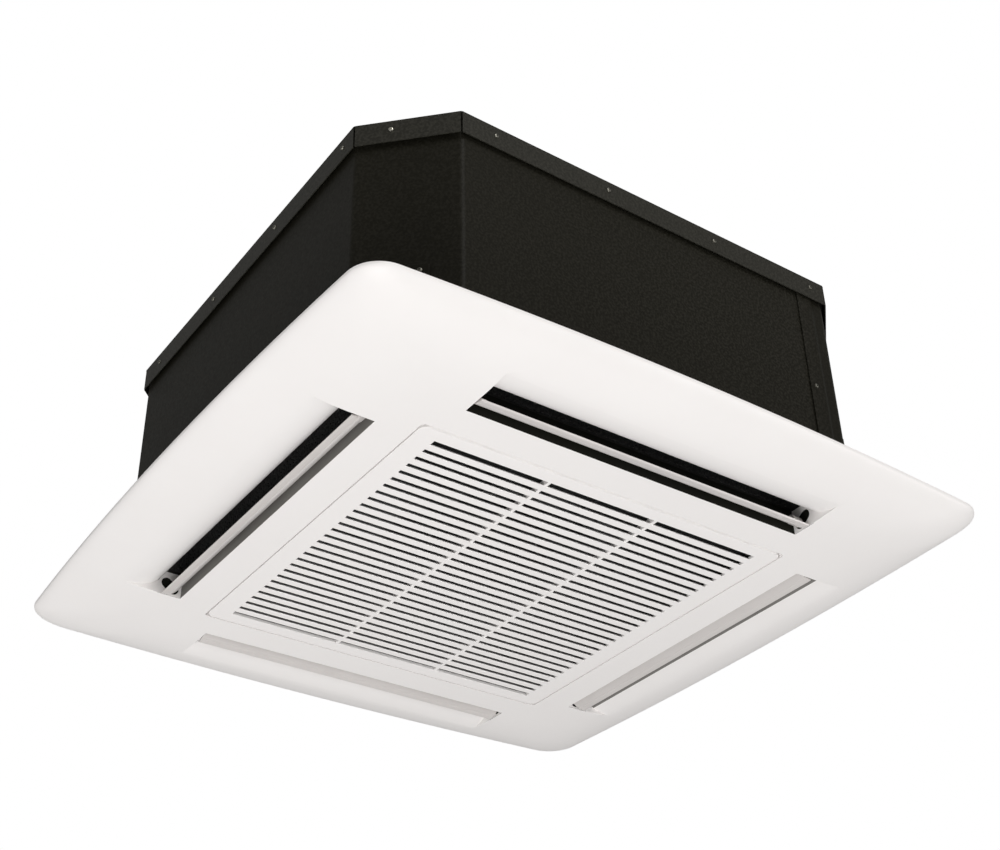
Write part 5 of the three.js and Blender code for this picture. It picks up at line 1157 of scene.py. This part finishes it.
def fan_motor():
    """Motor can with a rolled seam, its neck and three ears."""
    low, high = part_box("fan_motor")
    radius = 46 * MM
    neck = low.z + 7 * MM
    seam = (low.z + high.z) / 2
    profile = [(MOTOR_BORE, low.z + 12 * MM), (MOTOR_BORE, low.z), (18 * MM, low.z), (20 * MM, neck),
               (radius - 7 * MM, neck + 4 * MM), *arc(radius - 8 * MM, low.z + 20 * MM, 8 * MM, -0.6, 0, 5),
               (radius, seam - 3 * MM), (radius - MM, seam - 2 * MM), (radius - MM, seam + 2 * MM),
               (radius, seam + 3 * MM), *arc(radius - 6 * MM, high.z - 6 * MM, 6 * MM, 0, QUARTER, 6),
               (0, high.z), (0, low.z + 12 * MM)]
    can = turned("can", profile, 80)
    level, thick = high.z - 14 * MM, 3 * MM
    for i in range(3):
        turn = about("Z", math.tau * i / 3 + QUARTER)
        tip = arc(MOTOR_EAR_REACH, 0, 9 * MM, -QUARTER, QUARTER, 12)
        outline = [(40 * MM, -9 * MM), *tip, (40 * MM, 9 * MM)]
        boolean(can, moved(prism("ear", outline, level, level + thick), turn), "UNION")
    dress(shaded(can, 35), "fan_motor_can", "fan_motor")


# ---- coil
COIL_CENTRE = 203 * MM
COIL_THICKNESS = 24 * MM
COIL_RADIUS = 42 * MM
COIL_END = 130 * MM


def coil_fins():
    """Close thin fins standing square to the coil's path round three and a half sides."""
    low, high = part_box("coil_fin_pack")
    outer = COIL_CENTRE
    path = bent([(-COIL_END, outer), (outer, outer), (outer, -outer), (-outer, -outer), (-outer, COIL_END)],
                COIL_RADIUS - COIL_THICKNESS / 2, 12)
    mesh = bpy.data.meshes.new("coil path")
    mesh.from_pydata([(p.x, p.y, 0) for p in path], [(i, i + 1) for i in range(len(path) - 1)], [])
    half = COIL_THICKNESS / 2 - 0.1 * MM
    wave = [(-half, 0.12), (-half / 2, 0.42), (0, 0.12), (half / 2, 0.42), (half, 0.12)]
    outline = [(x * MM, y) for y, x in wave] + [((x - 0.24) * MM, y) for y, x in reversed(wave)]
    fin = prism("fin", outline, low.z, high.z)
    made = grown(object_of(mesh), FINS, Fin=fin, Step=2.1 * MM, Finish=FINISHES["fin_aluminium"])
    dress(made, "coil_fins", "coil_fin_pack", finish=False)


# ---- drain, pipes and small fittings
def along_minus_x(obj, y, z):
    """Turns a piece drawn round Z so that it points out of the left side at (y, z)."""
    return moved(obj, shifted(0, y, z) @ about("Y", -QUARTER))


def drain_spout():
    """Hollow spout with a collar on the wall and four ridges that hold a hose."""
    low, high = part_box("drain_spout")
    outer, bore = 12.5 * MM, 10.5 * MM
    inside, tip = -high.x, -low.x
    seat = CASING_HALF + FIT
    profile = [(bore, inside), (outer, inside), (outer, seat), (outer + 4 * MM, seat),
               (outer + 4 * MM, seat + 2.4 * MM), (outer + 3.4 * MM, seat + 3 * MM),
               (outer - 0.5 * MM, seat + 3 * MM)]
    for i in range(4):
        start = seat + 8 * MM + i * 5 * MM
        profile += [(outer - 0.9 * MM, start), (outer, start + 0.4 * MM),
                    (outer - 0.8 * MM, start + 3.4 * MM)]
    profile += [(outer - 1.1 * MM, tip), (bore, tip)]
    spout = turned("spout", profile, 48)
    dress(shaded(along_minus_x(spout, DRAIN_Y, DRAIN_Z), 30), "ridged_drain_spout", "drain_spout")


def cable_grommet():
    low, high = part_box("cable_grommet")
    seat = CASING_HALF + FIT
    inner, outer = -high.x, -low.x
    profile = [(6 * MM, inner), (8.7 * MM, inner), (8.7 * MM, seat), (11 * MM, seat)]
    profile += [*arc(9.5 * MM, outer - 1.5 * MM, 1.5 * MM, 0, QUARTER, 5),
                *arc(7.2 * MM, outer - 1.2 * MM, 1.2 * MM, QUARTER, math.pi, 4)]
    dress(shaded(along_minus_x(turned("grommet", profile, 40), CABLE_Y, CABLE_Z)), "soft_cable_grommet",
          "cable_grommet")


def isolator(index):
    """Waisted rubber block under the motor's bracket."""
    name = f"motor_isolator_{index}"
    low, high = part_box(name)
    radius = 7 * MM
    side = [(radius, low.z + 2 * MM), (radius - 1.6 * MM, low.z + 3 * MM)]
    mirror = [(r, low.z + high.z - z) for r, z in reversed(side)]
    profile = [(0, low.z), (radius - 0.5 * MM, low.z), (radius, low.z + 0.5 * MM), *side, *mirror,
               (radius, high.z - 0.5 * MM), (radius - 0.5 * MM, high.z), (0, high.z)]
    angle = math.tau * (index - 1) / 3 + QUARTER
    at = shifted(MOTOR_EAR_REACH * math.cos(angle), MOTOR_EAR_REACH * math.sin(angle), 0)
    dress(shaded(moved(turned(name, profile, 32), at)), f"rubber_isolator_{index}", name)


def drain_pump():
    """Condensate pump: suction foot, impeller housing, motor can and outlet nipple."""
    low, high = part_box("drain_pump")
    radius, can = 22 * MM, 18 * MM
    housing = high.z - 58 * MM
    profile = [(0, low.z), (8 * MM, low.z), (10 * MM, housing - 4 * MM), (radius - 0.6 * MM, housing),
               (radius, housing + 0.8 * MM), (radius, housing + 15 * MM),
               (radius - 0.8 * MM, housing + 16 * MM),
               (can, housing + 19 * MM), (can, high.z - 3 * MM),
               *arc(can - 4 * MM, high.z - 4 * MM, 4 * MM, 0.2, QUARTER, 5), (0, high.z)]
    body = turned("pump", profile, 56)
    centre = Vector((-PUMP_OFFSET, PUMP_OFFSET, 0))
    moved(body, Matrix.Translation(centre))
    nipple = turned("nipple", [(0, 10 * MM), (5 * MM, 10 * MM), (5 * MM, radius + 7.4 * MM),
                               (4.4 * MM, radius + 8 * MM), (0, radius + 8 * MM)], 32)
    at = Matrix.Translation(centre + Vector((0, 0, housing + 8 * MM)))
    boolean(body, moved(nipple, at @ about("Y", -QUARTER)), "UNION")
    dress(shaded(body, 35), "condensate_pump", "drain_pump")


GAS_EXIT = Vector((-168 * MM, 0, 204 * MM))
LIQUID_EXIT = Vector((-140 * MM, 0, 154 * MM))
PIPE_END = CASING_HALF + 36 * MM
COIL_FACE = -COIL_END - 2.1 * MM


def gas_pipe():
    x, z = GAS_EXIT.x, GAS_EXIT.z
    y, rise = COIL_CENTRE - COIL_THICKNESS / 4, z + 16 * MM
    points = [(COIL_FACE, y, rise), (COIL_FACE - 10 * MM, y, rise), (x + 8 * MM, y + MM, rise - 2 * MM),
              (x, y + 14.4 * MM, z + 6.4 * MM), (x, y + 30.4 * MM, z), (x, CASING_HALF, z), (x, PIPE_END, z)]
    return round_tube("gas_pipe_copper", "gas_pipe", points, 6.2 * MM)


def liquid_pipe():
    x, z = LIQUID_EXIT.x, LIQUID_EXIT.z
    y, rise = COIL_CENTRE + COIL_THICKNESS / 2 - 2 * MM, z + 14 * MM
    points = [(COIL_FACE, y, rise), (COIL_FACE - 4 * MM, y, rise), (x - 3 * MM, y + 4.8 * MM, rise - 2 * MM),
              (x - 2 * MM, y + 14.4 * MM, z + 4 * MM), (x, y + 28 * MM, z), (x, CASING_HALF, z),
              (x, PIPE_END, z)]
    return round_tube("liquid_pipe_copper", "liquid_pipe", points, 3.1 * MM)


def drain_hose():
    y, outlet, r = PUMP_OFFSET, 80 * MM, 7 * MM
    start, end = -213.3 * MM, -270.2 * MM
    points = [(start, y, outlet), (start - r * 0.7, y, outlet), (start - r * 1.4, y - r * 0.4, outlet + r),
              (start - r * 1.9, y - r * 1.1, outlet + r * 3.5), (start - r * 1.4, DRAIN_Y, DRAIN_Z - r * 5.7),
              (end + r * 3.1, DRAIN_Y, DRAIN_Z - r * 1.7), (end + r * 1.7, DRAIN_Y, DRAIN_Z),
              (end, DRAIN_Y, DRAIN_Z)]
    return round_tube("soft_drain_hose", "drain_hose", points, 6.8 * MM)


def back_casing_sheet():
    """The rear half of the wall, with its window for the pipes and its holes for drain and cable."""
    sheet = casing_sheet("back sheet", "casing_wrap_back", True)
    low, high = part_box("pipe_plate")
    edge, depth = 7 * MM, 4 * MM
    boolean(sheet, block("window", low.x + edge, high.x - edge, CASING_HALF - depth, CASING_HALF + depth,
                         low.z + edge, high.z - edge))
    for radius, y, z in ((13.1 * MM, DRAIN_Y, DRAIN_Z), (9 * MM, CABLE_Y, CABLE_Z)):
        drill = rod("drill", radius, CASING_HALF - depth, CASING_HALF + depth, 40)
        boolean(sheet, along_minus_x(drill, y, z))
    dress(shaded(sheet, 40), "casing_sheet_back", "casing_wrap_back")


def pipe_plate():
    """Square plate with a hole for each pipe, over the window in the wall."""
    low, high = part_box("pipe_plate")
    plate = rounded_edges(block("plate", low.x, high.x, low.y, high.y, low.z, high.z), 0.3 * MM)
    for at, radius in ((GAS_EXIT, 6.9 * MM), (LIQUID_EXIT, 3.8 * MM)):
        through = shifted(at.x, low.y, at.z) @ about("X", QUARTER)
        boolean(plate, moved(rod("drill", radius, -5 * MM, 5 * MM, 40), through))
    dress(shaded(plate, 40), "pipe_cover_plate", "pipe_plate")


# ---- the whole unit
fascia_moulding()
intake_grille_moulding()
filter_frame_and_net()
for quarter, side_name in enumerate(SIDES):
    air_vane(side_name, quarter)
    kept_shape(f"vane_shaft_{side_name}", angle=50)
    kept_shape(f"vane_motor_{side_name}", 0.3 * MM)

front_sheet = casing_sheet("front sheet", "casing_wrap_front", False)
dress(shaded(front_sheet, 40), "casing_sheet_front", "casing_wrap_front")
back_casing_sheet()
lid()
lid_screws()
seam_screws()
fitting_screws()
pipe_plate()
for corner in CORNERS:
    kept_shape(f"hanger_bracket_{corner}", 0.4 * MM)

turbo_fan()
kept_shape("motor_shaft", 0.3 * MM)
kept_shape("fan_nut", 0.3 * MM)
fan_motor()
for number in (1, 2, 3):
    isolator(number)
bell_mouth()
coil_fins()
gas_pipe()
liquid_pipe()
drain_hose()
drain_spout()
cable_grommet()
drain_pump()
for kept, edge_width in (("panel_foam_seal", 0), ("wall_insulation", 0), ("top_insulation", 0),
                         ("drain_pan", 0.8), ("coil_end_plate_back", 0), ("coil_end_plate_left", 0),
                         ("motor_bracket", 0.3), ("gas_flare_nut", 0.4), ("liquid_flare_nut", 0.3),
                         ("pump_bracket", 0.3), ("float_stem", 0.3), ("float", 0.5),
                         ("grille_clip_front", 0.2), ("grille_clip_back", 0.2), ("control_box", 0.3),
                         ("control_box_lid", 0.3), ("terminal_block", 0.3), ("circuit_board", 0.3),
                         ("room_thermistor", 0.4)):
    kept_shape(kept, edge_width * MM)


# ---- floor, light and camera
FLOOR_LEVEL, FLOOR_REACH = -3.2, 20
CAMERA_AT = Vector((1.1126, -0.7764, -0.7587))
CAMERA_AZIMUTH, CAMERA_ELEVATION = math.radians(54.39), math.radians(-34.25)
CAMERA_ROLL = -0.0233
LENS = 56.6                               # millimetres, on a sensor 36 wide


def floor():
    """A wide plain floor well below the unit, white to the camera."""
    reach = FLOOR_REACH
    ground = block("plain floor", -reach, reach, -reach, reach, FLOOR_LEVEL - 0.02, FLOOR_LEVEL)
    material = bpy.data.materials.new("pale floor")
    material.use_nodes = True
    tree = material.node_tree
    paint = tree.nodes["Principled BSDF"]
    cloud = out(tree, "ShaderNodeTexNoise", {"Vector": place(tree), "Scale": 2.0})
    tree.links.new(mixed(tree, cloud, (0.80, 0.80, 0.80), (0.83, 0.83, 0.83)), paint.inputs["Base Color"])
    paint.inputs["Roughness"].default_value = 0.9
    seen = node(tree, "ShaderNodeLightPath").outputs["Is Camera Ray"]
    white_when(tree, seen, "ShaderNodeEmission", paint, "Material Output")
    ground.data.materials.append(material)


def white_when(tree, seen, kind, usual, ending):
    """Ends a tree in its usual shader, and in plain white for the rays in `seen`."""
    white = out(tree, kind, {"Color": (1, 1, 1, 1), "Strength": 1.0})
    blend = out(tree, "ShaderNodeMixShader", {0: seen, 1: usual.outputs[0], 2: white})
    tree.links.new(blend, tree.nodes[ending].inputs["Surface"])


def surroundings():
    """Even pale light all round, but pure white where the camera looks past the unit."""
    world = bpy.data.worlds.new("pale room")
    bpy.context.scene.world = world
    world.use_nodes = True
    tree = world.node_tree
    soft = tree.nodes["Background"]
    soft.inputs["Color"].default_value = (1, 1, 1, 1)
    soft.inputs["Strength"].default_value = 0.33
    ray = node(tree, "ShaderNodeLightPath").outputs
    seen = maths(tree, "MAXIMUM", ray["Is Camera Ray"], ray["Is Transmission Ray"])
    white_when(tree, seen, "ShaderNodeBackground", soft, "World Output")


def soft_panel(name, place_at, aim_at, size, power):
    """A soft square light that the camera doesn't see."""
    light = bpy.data.lights.new(name, "AREA")
    light.shape, light.size, light.energy = "SQUARE", size, power
    lamp = object_of(light)
    lamp.location = place_at
    lamp.rotation_euler = (Vector(aim_at) - Vector(place_at)).to_track_quat("-Z", "Y").to_euler()
    lamp.visible_camera = False


def camera():
    """The photograph's view: from below the near right corner, looking up."""
    azimuth, elevation, roll = CAMERA_AZIMUTH, CAMERA_ELEVATION, CAMERA_ROLL
    forward = Vector((-math.sin(azimuth) * math.cos(elevation), math.cos(azimuth) * math.cos(elevation),
                      -math.sin(elevation)))
    right = forward.cross(Vector((0, 0, 1))).normalized()
    up = right.cross(forward)
    across = right * math.cos(roll) + up * math.sin(roll)
    upward = up * math.cos(roll) - right * math.sin(roll)
    data = bpy.data.cameras.new("view from below")
    data.sensor_width, data.lens, data.clip_start = 36, LENS, 0.01
    matrix = Matrix((across, upward, -forward)).transposed().to_4x4()
    matrix.translation = CAMERA_AT
    eye = object_of(data)
    eye.matrix_world = matrix
    bpy.context.scene.camera = eye


floor()
surroundings()
soft_panel("light from below", (1.0, -1.1, -1.95), (0, 0, -0.1), 1.0, 32.5)
soft_panel("fill from the front left, below", (-1.5, -1.5, -1.5), (0, 0, -0.1), 1.2, 9)
soft_panel("fill from the back right, below", (1.9, 1.4, -0.8), (0, 0, -0.05), 1.2, 15.5)
soft_panel("light from the right, above", (2.05, -0.35, 1.45), (0, 0, 0.1), 1.0, 19)
soft_panel("light on the back, above", (-1.9, 1.9, 2.1), (0, 0, 0.1), 1.6, 55)
camera()
bpy.context.scene.view_settings.view_transform = "Standard"
